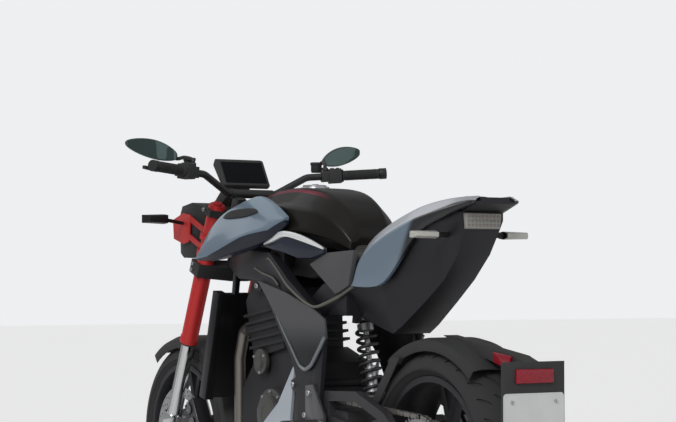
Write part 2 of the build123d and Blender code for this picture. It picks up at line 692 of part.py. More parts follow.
def engine_case():
    outline = [(-95, 335), (-95, 470), (-60, 560), (60, 600), (250, 562), (330, 470), (332, 330),
               (280, 262), (0, 250), (-60, 275)]
    body = plate(outline, -118, 92)
    body += barrel(output_x, output_z, 24, 90, sprocket_y - sprocket_t / 2 + 1)
    body += sprocket(output_x, output_z, front_teeth, chain_turns()[1][0], 0)
    body += barrel(mount_x, mount_z, mount_r, -plate_in + clear, plate_in - clear)
    return body


def engine_top():
    body = plate([(62, 600), (240, 564.4), (290, 735), (245, 800), (120, 815), (72, 780)], -104, 104)
    for k in range(5):
        z = 622 + 24 * k
        shift = 9 * k
        fin = [(36 + shift, z), (254 + shift, z - 32), (256 + shift, z - 24), (38 + shift, z + 8)]
        body += plate(fin, -112, 112)
    body += barrel(top_mount_x, top_mount_z, mount_r, -top_mount_y, top_mount_y)
    for y in port_ys:
        boss = Plane(origin=(250, y, port_z), z_dir=(1, 0, 0)) * Circle(port_r + 6)
        body += extrude(boss, amount=port_x - clear - 250)
    return body


def engine_covers():
    left = barrel(110, 400, 78, 92, 122) + barrel(110, 400, 60, 92, 134)
    left += barrel(183, 556, 18, 92, 106)
    left += barrel(183, 556, 38, 104 + clear, 118) + barrel(183, 556, 24, 110, 122)
    outline = [(-120, 480), (-20, 495), (20, 440), (10, 380), (-30, 360), (-110, 380)]
    guard = plate(outline, 121, pan_in - clear)
    guard += plate([(-14, 470), (20, 440), (10, 400), (-14, 400)], 92, pan_in - clear)
    right = barrel(60, 400, 92, -pan_in + 2, -118) + barrel(215, 380, 50, -pan_in + 6, -118)
    return Compound(children=list((left).solids()) + list(guard.solids()) + list(right.solids()))


def radiator():
    """A core with fins between two side tanks, hung from the spars by two lugs."""
    lean = radians(rad_lean)
    place = Plane(origin=(rad_x, 0, rad_z), x_dir=(cos(lean), 0, sin(lean)), z_dir=(-sin(lean), 0, cos(lean)))
    body = Box(rad_t, 2 * rad_half, rad_h - 10)
    body += [Pos(0, side * (rad_half + 5), 0) * Box(rad_t + 12, 30, rad_h) for side in (-1, 1)]
    for k in range(rad_fins):
        body -= Pos(rad_t / 2 + 3, 0, 28 * (k - (rad_fins - 1) / 2)) * Box(16, 2 * rad_half - 40, 16)
    top = place.from_local_coords((0, 0, rad_h / 2 - 20))
    lug_x = top.X - 24
    lug = plate([(top.X - 10, top.Z), (top.X + 8, top.Z), (lug_x + 20, spar_low(lug_x + 20) - clear),
                 (lug_x, spar_low(lug_x) - clear)], rad_lug_y, rad_lug_y + 16)
    return place * body + lug + mirror(lug, about=Plane.XZ)


def exhaust_headers():
    body = None
    for y in port_ys:
        low = y * 0.55
        path = [(port_x, y, port_z), (336, y, port_z), (366, y, 560), (362, y, 330)]
        pipe = tube(path + [(300, low, 222), (160, low, 196)], port_r, 28)
        body = pipe if body is None else body + pipe
    body += Pos(120, 0, 196) * Box(110, 140, 52)
    link = [(100, -30, 196), (30, -40, 200), (-5, -130, 222), (-18, muffler_y, 240)]
    return body + tube(link + [(muffler_x, muffler_y, 240)], 22, 30)


def muffler():
    columns = [
        # x, z, half width, half height
        (muffler_x - clear, 240, 38, 40),
        (muffler_x - 30, 244, 50, 54),
        (muffler_x - 270, 290, 48, 52),
        (muffler_x - 335, 312, 34, 38),
    ]
    corners = [(-1, -0.5), (-1, 0.5), (-0.5, 1), (0.5, 1), (1, 0.5), (1, -0.5), (0.5, -1), (-0.5, -1)]
    return stations([[(x, muffler_y + a * u, z + b * v) for u, v in corners] for x, z, a, b in columns])


def belly_pan():
    front = [(330, pan_low - pan_t), (385, 290), (150, 350), (25, 440)]
    left = [(-70, 560), (-45, 400), (-75, 300), (-50, pan_low - pan_t)]
    right = [(-70, 560), (-45, 400), (-60, 290), (50, 250), (60, pan_low - pan_t)]
    body = plate(left + front, pan_in, pan_in + pan_t) + plate(right + front, -pan_in - pan_t, -pan_in)
    floor = [(60, pan_low), (330, pan_low), (330, pan_low - pan_t), (60, pan_low - pan_t)]
    return body + plate(floor, -pan_in, pan_in)


# Rear end


def swingarm():
    outline = [(-120, 450), (-180, 486), (-390, 492), (-530, 440), (-630, 365), (-700, 352), (-705, 278),
               (-590, 270), (-350, 330), (-170, 386), (-122, 392)]
    window = [(-250, 460), (-385, 464), (-500, 422), (-400, 396), (-250, 420)]
    leg = plate(outline, arm_in, arm_out) - plate(window, 100, 200)
    leg -= barrel(rear_axle_x, rear_axle_z, axle_r + 0.1, 100, 200)
    leg -= barrel(bobbin_x, bobbin_z, bobbin_r, arm_out - bobbin_depth, arm_out + 10)
    arm = leg + mirror(leg, about=Plane.XZ)
    arm += barrel(pivot_x, pivot_z, pivot_r, -arm_out, arm_out)
    arm += plate([(-225, 436), (-310, 430), (-322, 400), (-300, 368), (-225, 392)], -arm_in, arm_in)
    x, z = shock_low_x, shock_low_z + 12
    outline = [(-290, 428), (-236, 430), (x + 13, z), (x - 13, z)]
    ear = plate(outline, shock_eye_half + clear, shock_eye_half + 9)
    return arm + ear + mirror(ear, about=Plane.XZ)


def rear_axle_rod():
    body = barrel(rear_axle_x, rear_axle_z, axle_r, -arm_out - 8, arm_out + 8)
    body += barrel(rear_axle_x, rear_axle_z, 20, sprocket_y + sprocket_t / 2 + 2, arm_in)
    body += barrel(rear_axle_x, rear_axle_z, 20, -arm_in, rear_disc_y - disc_t - 2)
    return body


def rear_caliper():
    body = plate([(-600, 395), (-540, 345), (-512, 380), (-572, 432)], -arm_in + clear, -62)
    slot = [(-640, 440), (-640, 330), (-535, 330), (-535, 440)]
    return body - plate(slot, rear_disc_y - disc_t - disc_gap, rear_disc_y + disc_gap)


def rear_mudguard():
    inner, half = rear_tyre_r + fender_gap, guard_half
    outline = Polyline(
        (-half, inner - 30), (-half, inner), (-half + 24, inner + 6), (half - 24, inner + 6), (half, inner),
        (half, inner - 30), (half - 3, inner - 30), (half - 3, inner - 3), (half - 25, inner + 3),
        (-half + 25, inner + 3), (-half + 3, inner - 3), (-half + 3, inner - 30), close=True,
    )
    face = profile_plane(rear_axle) * make_face(outline)
    axis = Axis(rear_axle, (0, 1, 0))
    shell = revolve(face.rotate(axis, -40), axis=axis, revolution_arc=76)
    arm = [(-640, 652), (-955, 606), (plate_x, plate_high - 4), (plate_x, plate_high - 40)]
    shell += plate(arm + [(-950, 566), (-720, 622)], -arm_half, arm_half)
    back = [(plate_x, plate_high), (plate_x + 5, plate_high), (plate_x + 5, plate_low), (plate_x, plate_low)]
    shell += plate(back, -plate_half, plate_half)
    stay = plate([(-500, 590), (-540, 590), (-440, 462), (-400, 462)], stay_y, stay_y + 4)
    stay += plate([(-500, 590), (-540, 590), (-527, 572), (-487, 572)], half - 2, stay_y + 4)
    stay += plate([(-400, 462), (-440, 462), (-440, 468), (-400, 476)], stay_y, arm_in - clear)
    shell += stay + mirror(stay, about=Plane.XZ)
    for side in (-1, 1):
        place = Plane(origin=(plate_x - 10, side * plate_bolt_y, plate_bolt_z), z_dir=(1, 0, 0))
        shell -= extrude(place * Circle(plate_bolt_r), amount=40)
    return shell


def rear_lamps():
    """The lens below the tail's hood, a reflector on the plate holder and one on each side of its arm."""
    face = tail_face_x - clear
    lens = lamp_shell([(face, 57, 61, lens_low, lens_high), (face - 9, 54, 58, lens_low + 3, lens_high - 2)])
    low, high, front, rear = 536, 574, plate_x - clear, plate_x - reflector_t
    back = plate([(rear, high - 2), (front, high), (front, low), (rear, low + 2)], -60, 60)
    side = plate([(-950, 604), (-876, 614), (-878, 586), (-946, 570)], arm_half + clear, arm_half + 10)
    return Compound(children=[lens, back, side, mirror(side, about=Plane.XZ)])


def rear_signals():
    """Lenses that stand out from the tail's sides on short stalks."""
    table = [
        # x, outer y, z low, z high
        (-748, 182, 914, 926), (-732, 192, 909, 931), (-712, 186, 912, 928),
    ]
    lens = stations([[(x, 108, z0), (x, y, z0 + 2), (x, y, z1 - 2), (x, 108, z1)] for x, y, z0, z1 in table])
    stalk = rod((-730, signal_root, 920), (-730, 112, 920), 7)
    return both(lens + stalk)


def footrests():
    back, lever_in, lever_out, pad_out = plate_out + clear, plate_out + 12, plate_out + 20, plate_out + 52
    outline = [(-165, 500), (-205, 505), (-262, 420), (-268, 372), (-225, 368), (-165, 400)]
    hanger = plate(outline, back, back + 9)
    peg = barrel(-240, 395, 12, back + 5, plate_out + 100)
    shift = [(-232, 408), (-128, 392), (-96, 396), (-96, 384), (-130, 378), (-236, 384)]
    left = plate(shift, lever_in, lever_out) + barrel(-104, 390, 8, lever_in, pad_out)
    pedal = [(-232, 408), (-150, 384), (-118, 388), (-118, 376), (-152, 370), (-236, 384)]
    right = plate(pedal, lever_in, lever_out)
    right += plate([(-142, 388), (-104, 390), (-104, 380), (-140, 378)], lever_in, pad_out)
    joint = barrel(-225, 395, 14, back + 8, lever_out)
    return Compound(children=[
        (hanger + peg + joint + left).solids()[0],
        mirror(hanger + peg + joint + right, about=Plane.XZ).solids()[0],
    ])


def air_box():
    high = tank_low - clear
    return plate([(88, high), (88, 822), (-60, 806), (-130, 812), (-130, high - 3), (-50, high)], -88, 88)


def rear_shock():
    """A damper in its spring, drawn as rings, with an eye at each end."""
    a, b = Vector(shock_low_x, 0, shock_low_z), Vector(shock_top_x, 0, shock_top_z)
    length, coils = (b - a).length, 6
    pitch = (length - 60) / coils
    profile = [(0, 0), (26, 0), (26, 20)]
    for k in range(coils):
        z = 24 + pitch * k
        profile += [(24, z), (32, z + pitch * 0.3), (32, z + pitch * 0.6), (24, z + pitch * 0.9)]
    profile += [(26, length - 30), (26, length), (0, length)]
    spring = revolve(Plane.XZ * make_face(Polyline(*profile, close=True)), axis=Axis.Z)
    body = Plane(origin=a, z_dir=b - a) * spring
    for end in (a, b):
        body += barrel(end.X, end.Z, shock_eye_r, -shock_eye_half, shock_eye_half)
    return body


# Stands


def centre_stand():
    body = barrel(stand_x, stand_z, 14, -stand_leg_y - 12, stand_leg_y + 12)
    body += barrel(stand_x, stand_z, stand_pin_r, -plate_out - 1, plate_out + 1)
    leg = rod((stand_x, stand_leg_y, stand_z), (stand_foot_x, stand_leg_y + 8, 14), 11)
    x = stand_foot_x
    foot = plate([(x - 34, 0), (x + 26, 0), (x + 20, 16), (x - 30, 14)], stand_leg_y - 2, stand_leg_y + 34)
    body += leg + foot
    body += mirror(leg + foot, about=Plane.XZ)
    return body


def side_stand_frame():
    """Plane at the side stand's pivot, its normal along the pivot, pointing out."""
    point = (side_stand_x, plate_out + 16, side_stand_z)
    tilt = radians(side_stand_tilt)
    return Plane(origin=point, x_dir=(1, 0, 0), z_dir=(0, cos(tilt), sin(tilt)))


def side_stand():
    leg = Pos(-side_stand_len / 2, 0, 0) * Rot(0, 90, 0) * Cylinder(10, side_stand_len)
    foot = Pos(-side_stand_len - 6, 0, 4) * Box(16, 46, 44)
    body = Cylinder(17, 14) + leg + foot - Cylinder(side_pin_r + stand_pin_fit, 60)
    return side_stand_frame() * body


def save(node, shape):
    os.makedirs("parts", exist_ok=True)
    solids = [Pos(-middle_x, 0, 0) * solid for solid in shape.solids()]
    whole = solids[0] if len(solids) == 1 else Compound(children=solids)
    export_step(whole, f"parts/{node}.step")


def main():
    nodes = {
        "front_wheel": cast_wheel(front_axle, front_rim_half, front_hub_half),
        "front_tyre": tyre(front_axle, front_tyre_r, front_tyre_w, front_crown, front_rim_half),
        "front_discs": front_discs(),
        "rear_wheel": rear_wheel(),
        "rear_tyre": tyre(rear_axle, rear_tyre_r, rear_tyre_w, rear_crown, rear_rim_half),
        "rear_disc": brake_disc(rear_axle, rear_disc_r, rear_disc_y - disc_t, rear_disc_y),
        "rear_sprocket": rear_sprocket(),
        "chain": chain(),
        "fork_yokes": fork_yokes(),
        "fork_tubes": fork_tubes(),
        "fork_sliders": fork_sliders(),
        "front_axle": front_axle_rod(),
        "front_calipers": front_calipers(),
        "front_fender": fender(),
        "handlebar": handlebar(),
        "grips": grips(),
        "bar_controls": bar_controls(),
        "mirrors": mirrors(),
        "headlamp": headlamp(),
        "lamp_stays": lamp_stays(),
        "instruments": instruments(),
        "front_signals": front_signals(),
        "steering_head": steering_head(),
        "frame_spars": frame_spars(),
        "tail_frame": tail_frame(),
        "side_panels": side_panels(),
        "side_covers": side_covers(),
        "air_box": air_box(),
        "fuel_tank": fuel_tank(),
        "fuel_cap": fuel_cap(),
        "tank_shrouds": tank_shrouds(),
        "seat_rider": rider_seat(),
        "seat_pillion": pillion_seat(),
        "engine_case": engine_case(),
        "engine_top": engine_top(),
        "engine_covers": engine_covers(),
        "radiator": radiator(),
        "exhaust_headers": exhaust_headers(),
        "muffler": muffler(),
        "belly_pan": belly_pan(),
        "swingarm": swingarm(),
        "rear_axle": rear_axle_rod(),
        "rear_caliper": rear_caliper(),
        "rear_mudguard": rear_mudguard(),
        "rear_lamps": rear_lamps(),
        "rear_signals": rear_signals(),
        "footrests": footrests(),
        "headlamp_lens": headlamp_lens(),
        "rear_shock": rear_shock(),
        "centre_stand": centre_stand(),
        "side_stand": side_stand(),
    }
    for node, shape in nodes.items():
        save(node, shape)


main()
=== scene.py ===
import json
from cmath import phase, rect
from contextlib import contextmanager
from math import asin, cos, pi, radians, sin

import bmesh
import bpy
from bpy.props import FloatProperty, FloatVectorProperty, IntProperty, PointerProperty
from mathutils import Matrix, Vector
from mathutils.geometry import delaunay_2d_cdt


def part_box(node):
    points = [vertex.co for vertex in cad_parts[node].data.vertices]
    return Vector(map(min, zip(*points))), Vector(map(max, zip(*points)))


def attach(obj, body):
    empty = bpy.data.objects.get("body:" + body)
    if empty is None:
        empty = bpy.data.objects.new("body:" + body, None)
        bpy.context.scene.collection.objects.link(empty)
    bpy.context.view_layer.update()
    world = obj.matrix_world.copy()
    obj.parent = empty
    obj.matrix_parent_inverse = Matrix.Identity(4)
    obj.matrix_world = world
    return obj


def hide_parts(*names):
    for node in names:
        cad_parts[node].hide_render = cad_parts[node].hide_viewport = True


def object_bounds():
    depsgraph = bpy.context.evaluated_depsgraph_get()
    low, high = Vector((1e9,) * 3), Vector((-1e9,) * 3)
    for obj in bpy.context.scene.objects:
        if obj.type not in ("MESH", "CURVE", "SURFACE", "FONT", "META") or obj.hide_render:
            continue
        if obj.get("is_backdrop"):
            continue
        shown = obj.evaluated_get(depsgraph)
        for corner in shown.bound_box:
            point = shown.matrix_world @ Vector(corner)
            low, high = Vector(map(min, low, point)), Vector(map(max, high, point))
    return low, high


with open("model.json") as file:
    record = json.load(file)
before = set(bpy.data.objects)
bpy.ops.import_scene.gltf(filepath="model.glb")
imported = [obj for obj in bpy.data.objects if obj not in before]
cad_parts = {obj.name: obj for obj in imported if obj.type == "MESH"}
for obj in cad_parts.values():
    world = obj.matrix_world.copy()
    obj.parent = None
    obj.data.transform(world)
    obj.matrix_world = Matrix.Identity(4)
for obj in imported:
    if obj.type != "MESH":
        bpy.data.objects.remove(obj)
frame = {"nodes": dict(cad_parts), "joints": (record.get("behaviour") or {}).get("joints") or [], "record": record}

bl_info = {
    "name": "Standard Motorcycle",
    "version": (1, 0, 0),
    "blender": (4, 5, 0),
    "location": "View3D > Sidebar > Motorcycle",
    "description": "Dresses the packed frame of a standard motorcycle",
    "category": "Object",
}

NODES = frame["nodes"]
BODY_OF = {n: body for body, nodes in frame["record"]["behaviour"]["bodies"].items() for n in nodes}
SLOT_OF = {s["node"]: s["material_slot"] for s in frame["record"]["subparts"]}
JOINTS = {j["name"]: j for j in frame["joints"]}
CAD_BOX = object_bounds()
MIDDLE = 0.0385  # how far the tables' origin lies behind the frame's

FRONT_AXLE = Vector(JOINTS["front_wheel_spin"]["pos_m"])
REAR_AXLE = Vector(JOINTS["rear_wheel_spin"]["pos_m"])
STEER_AXIS = Vector(JOINTS["steering_turn"]["axis"]).normalized()
STEER_POINT = Vector(JOINTS["steering_turn"]["pos_m"])
SIDES = (-1, 1)
BACK, LEFT, UP = Vector((-1, 0, 0)), Vector((0, 1, 0)), Vector((0, 0, 1))


def mm(x, y, z):
    """A point of the tables below, which are in millimetres from the floor under the engine."""
    return Vector((x / 1000 - MIDDLE, y / 1000, z / 1000))


def ring_at(x, points):
    """A ring across the machine, from (y, z) in millimetres."""
    return [mm(x, y, z) for y, z in points]


# Colours and sizes that a user would change


def colour(label, value, note):
    return FloatVectorProperty(name=label, description=note, default=value, subtype="COLOR", min=0, max=1)


def length(label, value, note):
    return FloatProperty(name=label, description=note, default=value, unit="LENGTH", min=0)


class MotorcyclePaint(bpy.types.PropertyGroup):
    body: colour("Body", (0.170, 0.232, 0.295), "Grey-blue of the shrouds and the tail")
    # The navy is painted shade: the dark colour given to the shrouds' downturned lower facets and to the covers
    # under the tank's edge
    navy: colour("Navy", (0.006, 0.011, 0.028), "Dark blue of the panels' lower facets")
    tank: colour("Tank", (0.010, 0.0085, 0.0075), "Near-black of the tank")
    seat: colour("Seat", (0.013, 0.012, 0.0115), "Vinyl of both seats")
    frame: colour("Frame", (0.009, 0.009, 0.010), "Satin black of frame and stands")
    fork: colour("Fork", (0.55, 0.022, 0.020), "Anodised fork tubes")
    silver: colour("Silver", (0.52, 0.56, 0.60), "Belly pan")
    # The strip is a painted highlight: the tail's upturned top facet painted pale as if lit from above
    strip: colour("Strip", (0.42, 0.44, 0.48), "Pale strip along the tail")
    lens_red: colour("Red lens", (0.34, 0.006, 0.022), "Reflectors on the rear mudguard")


class MotorcycleSizes(bpy.types.PropertyGroup):
    edge: length("Edge", 0.002, "Radius of a plain rounded edge, of which each piece has its own share")
    groove: length("Groove", 0.0045, "Depth of the tyre grooves")
    stitch: length("Stitch", 0.0065, "Distance between two stitches of the seats")
    flake: FloatProperty(name="Flake", description="Strength of the paint's flake", default=0.25, min=0,
                         max=1)
    tread_repeats: IntProperty(name="Tread repeats", description="Tread blocks round a tyre", default=30,
                               min=8)


def paint():
    return bpy.context.scene.motorcycle_paint


def sizes():
    return bpy.context.scene.motorcycle_sizes


def rgba(shade, gain=1.0):
    """A colour's four numbers, with a gain; a name stands for the paint of that name."""
    shade = getattr(paint(), shade) if isinstance(shade, str) else shade
    return (shade[0] * gain, shade[1] * gain, shade[2] * gain, 1.0)


# Node trees


class Wire:
    """A socket on which Python's operators add Math nodes."""

    def __init__(self, tree, socket):
        self.tree, self.socket = tree, socket

    def of(self, name):
        """Another output of the same node."""
        return Wire(self.tree, self.socket.node.outputs[name])

    def math(self, operation, *values):
        return self.tree.node("ShaderNodeMath", {"operation": operation}, dict(enumerate(values)))

    def __add__(self, other):
        return self.math("ADD", self, other)

    def __radd__(self, other):
        return self.math("ADD", other, self)

    def __sub__(self, other):
        return self.math("SUBTRACT", self, other)

    def __rsub__(self, other):
        return self.math("SUBTRACT", other, self)

    def __mul__(self, other):
        return self.math("MULTIPLY", self, other)

    def __rmul__(self, other):
        return self.math("MULTIPLY", other, self)

    def __truediv__(self, other):
        return self.math("DIVIDE", self, other)

    def __abs__(self):
        return self.math("ABSOLUTE", self)

    def step(self, low, high):
        """0 below low, 1 above high."""
        return self.tree.node("ShaderNodeMapRange", {"interpolation_type": "SMOOTHSTEP"},
                              {"Value": self, "From Min": low, "From Max": high})


class Tree:
    """A node tree whose nodes all come from one method."""

    def __init__(self, tree):
        self.tree = tree

    def node(self, kind, settings=None, sockets=None, out=0):
        made = self.tree.nodes.new(kind)
        for key, value in (settings or {}).items():
            if key == "stops":
                ramp = made.color_ramp.elements
                while len(ramp) < len(value):
                    ramp.new(0.5)
                for stop, (place, shade) in zip(ramp, value):
                    stop.position, stop.color = place, shade
            else:
                setattr(made, key, value)
        self.fill(made.inputs, sockets or {})
        return Wire(self, made.outputs[out]) if made.outputs else made

    def fill(self, inputs, values):
        """Links or sets sockets."""
        for key, value in values.items():
            if isinstance(value, Wire):
                self.tree.links.new(value.socket, inputs[key])
            else:
                inputs[key].default_value = value

    def feed(self, **values):
        """Fills the shader's sockets by name, with spaces for underscores."""
        self.fill(self.shader, {key.replace("_", " "): value for key, value in values.items()})

    def place(self, move=None):
        """Object coordinates, or the same moved."""
        here = self.node("ShaderNodeTexCoord", out="Object")
        return self.node("ShaderNodeMapping", {}, {"Vector": here, "Location": move}) if move else here

    def axes(self):
        """X, Y and Z of the object coordinates."""
        x = self.node("ShaderNodeSeparateXYZ", {}, {"Vector": self.place()})
        return x, x.of("Y"), x.of("Z")

    def noise(self, scale, detail=3.0, rough=0.5):
        return self.node("ShaderNodeTexNoise", {}, {"Vector": self.place(), "Scale": scale, "Detail": detail,
                                                   "Roughness": rough})

    def cells(self, scale, feature="F1"):
        sockets = {"Vector": self.place(), "Scale": scale}
        return self.node("ShaderNodeTexVoronoi", {"feature": feature}, sockets)

    def vector(self, operation, a, b, out="Value"):
        return self.node("ShaderNodeVectorMath", {"operation": operation}, {0: a, 1: b}, out)

    def ramp(self, factor, stops):
        """A colour ramp from (place, red, green, blue) stops."""
        stops = [(place, (*shade, 1)) for place, *shade in stops]
        return self.node("ShaderNodeValToRGB", {"stops": stops}, {"Fac": factor})

    def along(self, x, table, column, low, span):
        """A column of a table of sections as a grey along X, 0 at low and 1 a span above it."""
        back, front = table[-1][0], table[0][0]
        stops = [((row[0] - back) / (front - back), *[(row[column] - low) / span] * 3)
                 for row in reversed(table)]
        return self.ramp((x + (MIDDLE - back / 1000)) / ((front - back) / 1000), stops)

    def blend(self, factor, a, b):
        """A colour between two, each of them a wire, a colour or the name of a paint."""
        a, b = (value if isinstance(value, Wire) else rgba(value) for value in (a, b))
        return self.node("ShaderNodeMix", {"data_type": "RGBA"}, {0: factor, 6: a, 7: b}, 2)

    def toned(self, factor, shade, low, high):
        """A colour that goes from one gain to another."""
        return self.blend(factor, rgba(shade, low), rgba(shade, high))

    def bump(self, height, strength, distance):
        sockets = {"Height": height, "Strength": strength, "Distance": distance}
        return self.node("ShaderNodeBump", {}, sockets)


def material(build):
    """Lets a function that fills a tree give the material of a name; one that is there is taken as it is."""
    def named(name, *values):
        found = bpy.data.materials.get(name)
        if found:
            return found
        made = bpy.data.materials.new(name)
        made.use_nodes = True
        made.node_tree.nodes.clear()
        tree = Tree(made.node_tree)
        shader = tree.node("ShaderNodeBsdfPrincipled")
        tree.node("ShaderNodeOutputMaterial", {}, {"Surface": shader})
        tree.shader = shader.socket.node.inputs
        build(tree, *values)
        return made

    return named


# Materials


@material
def gloss_paint(tree, shade, rough=0.22, flake=True, metallic=0.35):
    tone = tree.toned(tree.noise(3.0, 2.0), shade, 0.9, 1.1)
    if flake:
        spark = tree.node("ShaderNodeSeparateColor", {}, {0: tree.cells(1500.0).of("Color")}).step(0.72, 1.0)
        tone = tree.blend(spark * sizes().flake, tone, rgba(shade, 1.9))
    tree.feed(Base_Color=tone, Metallic=metallic, Roughness=rough + tree.noise(7.0) * 0.08,
              Coat_Weight=0.6, Coat_Roughness=0.06)


@material
def coated(tree, shade, rough=0.42, metallic=0.0, grain=900.0, depth=0.00008):
    """Powder coat or moulded plastic: a fine grain and rubbed patches."""
    rub = tree.noise(9.0, 4.0, 0.6)
    tree.feed(Base_Color=tree.toned(rub, shade, 0.88, 1.12), Metallic=metallic,
              Roughness=rough - 0.1 + rub * 0.2, Specular_IOR_Level=0.10,
              Normal=tree.bump(tree.noise(grain, 2.0), 0.35, depth))


@material
def cast_metal(tree, shade, rough):
    """Sand or die cast metal under paint or bare."""
    blotch, grain = tree.noise(14.0, 6.0, 0.6), 420.0
    height = tree.noise(grain, 3.0, 0.6) - tree.cells(grain) * 0.2
    tree.feed(Base_Color=tree.toned(blotch, shade, 0.8, 1.15), Metallic=0.8,
              Roughness=rough - 0.08 + blotch * 0.18, Normal=tree.bump(height, 0.4, 0.00025))


@material
def turned_steel(tree, shade, centre, rough=0.26):
    """Steel turned or ground round the machine's Y axis at a centre."""
    flat = tree.vector("MULTIPLY", tree.place((-centre.x, 0, -centre.z)), (1, 0, 1), "Vector")
    rings = tree.vector("LENGTH", flat, (0, 0, 0)) * 900.0
    line = tree.node("ShaderNodeTexNoise", {"noise_dimensions": "1D"},
                     {"W": rings, "Scale": 1.0, "Detail": 4.0})
    tree.feed(Base_Color=tree.toned(line, shade, 0.72, 1.12), Metallic=1.0,
              Roughness=rough + tree.noise(24.0) * 0.14 + line * 0.08, Normal=tree.bump(line, 0.12, 0.0001))


@material
def plain_steel(tree, shade, rough):
    spots = tree.noise(55.0, 6.0, 0.7).step(0.56, 0.78)
    tree.feed(Base_Color=tree.blend(spots * 0.35, shade, (0.25, 0.16, 0.08)), Metallic=1.0,
              Roughness=rough - 0.06 + tree.noise(12.0) * 0.16 + spots * 0.15)


@material
def anodised(tree, shade, rough=0.24):
    tree.feed(Base_Color=tree.toned(tree.noise(10.0), shade, 0.85, 1.15), Metallic=0.85,
              Roughness=rough + tree.noise(700.0, 2.0) * 0.08, Coat_Weight=0.25, Coat_Roughness=0.15)


@material
def tyre_rubber(tree):
    dust = tree.noise(6.0).step(0.45, 0.8)
    tree.feed(Base_Color=tree.blend(dust * 0.5, (0.010, 0.010, 0.011), (0.030, 0.029, 0.027)),
              Roughness=0.62 + tree.noise(26.0, 5.0, 0.65) * 0.25, Specular_IOR_Level=0.16,
              Normal=tree.bump(tree.noise(520.0, 3.0, 0.6), 0.3, 0.0003))


@material
def seat_vinyl(tree):
    fold = tree.noise(30.0, 4.0)
    height = tree.cells(430.0, "DISTANCE_TO_EDGE").step(0.0, 0.32) + fold * 0.3
    tree.feed(Base_Color=tree.toned(fold, "seat", 0.8, 1.3), Roughness=0.48 + fold * 0.16,
              Specular_IOR_Level=0.22, Normal=tree.bump(height, 0.45, 0.00035))


@material
def ribbed_rubber(tree):
    grime = tree.noise(60.0, 4.0)
    tree.feed(Base_Color=tree.blend(grime, (0.018, 0.018, 0.018), (0.035, 0.034, 0.033)),
              Roughness=0.6 + grime * 0.2, Normal=tree.bump(tree.noise(800.0, 2.0), 0.3, 0.0002))


@material
def heated_steel(tree, hot, reach):
    """Stainless pipe, straw and blue near the ports and dull grey away from them."""
    apart = tree.vector("DISTANCE", tree.place(), hot)
    tone = tree.ramp(apart / reach + tree.noise(16.0, 4.0) * 0.12, (
        (0.0, 0.050, 0.050, 0.085), (0.25, 0.075, 0.052, 0.072), (0.5, 0.085, 0.066, 0.078),
        (1.0, 0.100, 0.095, 0.100),
    ))
    tree.feed(Base_Color=tone, Metallic=1.0, Roughness=0.25 + tree.noise(40.0, 4.0) * 0.2)


@material
def lens(tree, shade, glow=0.0, rough=0.06, clear=0.35):
    """A moulded lens with fine prisms behind its face."""
    prism = tree.node("ShaderNodeTexWave", {"bands_direction": "Z"},
                      {"Vector": tree.place(), "Scale": 75.0}, "Fac")
    tone = tree.toned(prism, shade, 0.65, 1.15)
    tree.feed(Base_Color=tone, Roughness=rough, Coat_Weight=1.0, Coat_Roughness=0.03,
              Transmission_Weight=clear, IOR=1.49, Normal=tree.bump(prism, 0.25, 0.0006))
    if glow:
        tree.feed(Emission_Color=tone, Emission_Strength=glow)


@material
def signal_plastic(tree):
    """Pale smoked lenses that face away from the machine, in shells and on stalks of dark plastic."""
    x, y, _ = tree.axes()
    lit = x.step(0.6680, 0.6690) + (1 - x.step(-0.7610, -0.7600)) * abs(y).step(0.1125, 0.1135)
    prism = tree.cells(260.0, "DISTANCE_TO_EDGE")
    pale = tree.blend(prism.step(0.0, 0.3), (0.46, 0.45, 0.41), (0.64, 0.63, 0.59))
    tree.feed(Base_Color=tree.blend(lit, (0.013, 0.013, 0.014), pale), Roughness=0.42 - lit * 0.24,
              Coat_Weight=lit * 0.3, Coat_Roughness=0.05, Specular_IOR_Level=0.3,
              Normal=tree.bump(prism, 0.2, 0.0003))


@material
def rear_lamp_plastic(tree):
    """Pale smoked plastic for the lamp, red prisms for the reflectors below it."""
    prism, lamp = tree.cells(220.0, "DISTANCE_TO_EDGE"), tree.axes()[2].step(0.80, 0.81)
    red = tree.toned(prism.step(0.0, 0.3), "lens_red", 0.6, 1.2)
    tree.feed(Base_Color=tree.blend(lamp, red, (0.31, 0.305, 0.275)), Roughness=0.20, Coat_Weight=0.15,
              Coat_Roughness=0.05, Normal=tree.bump(prism, 0.3, 0.0004))


@material
def cover_plastic(tree):
    """Grained grey covers with painted shade that darkens them towards their foot; the panels along the tank's low
    edge are navy, the same painted shade as the shrouds' lower facets.
    """
    _, y, z = tree.axes()
    # This mask marks the panels under the tank's low edge, which get the navy painted shade
    gloss = abs(y).step(0.1402, 0.1406) * z.step(0.856, 0.858)
    rub = tree.noise(9.0, 4.0, 0.6)
    grey = tree.blend(rub, (0.078, 0.078, 0.082), (0.100, 0.100, 0.104))
    # Painted shade: the grey darkens to near black towards the covers' foot
    grey = tree.blend(z.step(0.585, 0.690), (0.014, 0.017, 0.019), grey)
    tree.feed(Base_Color=tree.blend(gloss, grey, "navy"), Roughness=0.52 - gloss * 0.16 + rub * 0.08,
              Coat_Weight=gloss * 0.2, Specular_IOR_Level=0.35,
              Normal=tree.bump(tree.noise(1100.0, 2.0), 0.3, 0.0001))


@material
def mirror_glass(tree):
    haze = tree.noise(20.0)
    tree.feed(Base_Color=tree.blend(haze, (0.10, 0.15, 0.145), (0.13, 0.18, 0.175)), Metallic=1.0,
              Roughness=0.03 + haze * 0.03)


@material
def plate_film(tree):
    film = tree.noise(16.0, 4.0)
    tree.feed(Base_Color=tree.blend(film, (0.62, 0.63, 0.62), (0.74, 0.75, 0.74)),
              Roughness=0.32 + film * 0.1, Normal=tree.bump(tree.cells(900.0), 0.1, 0.0001))


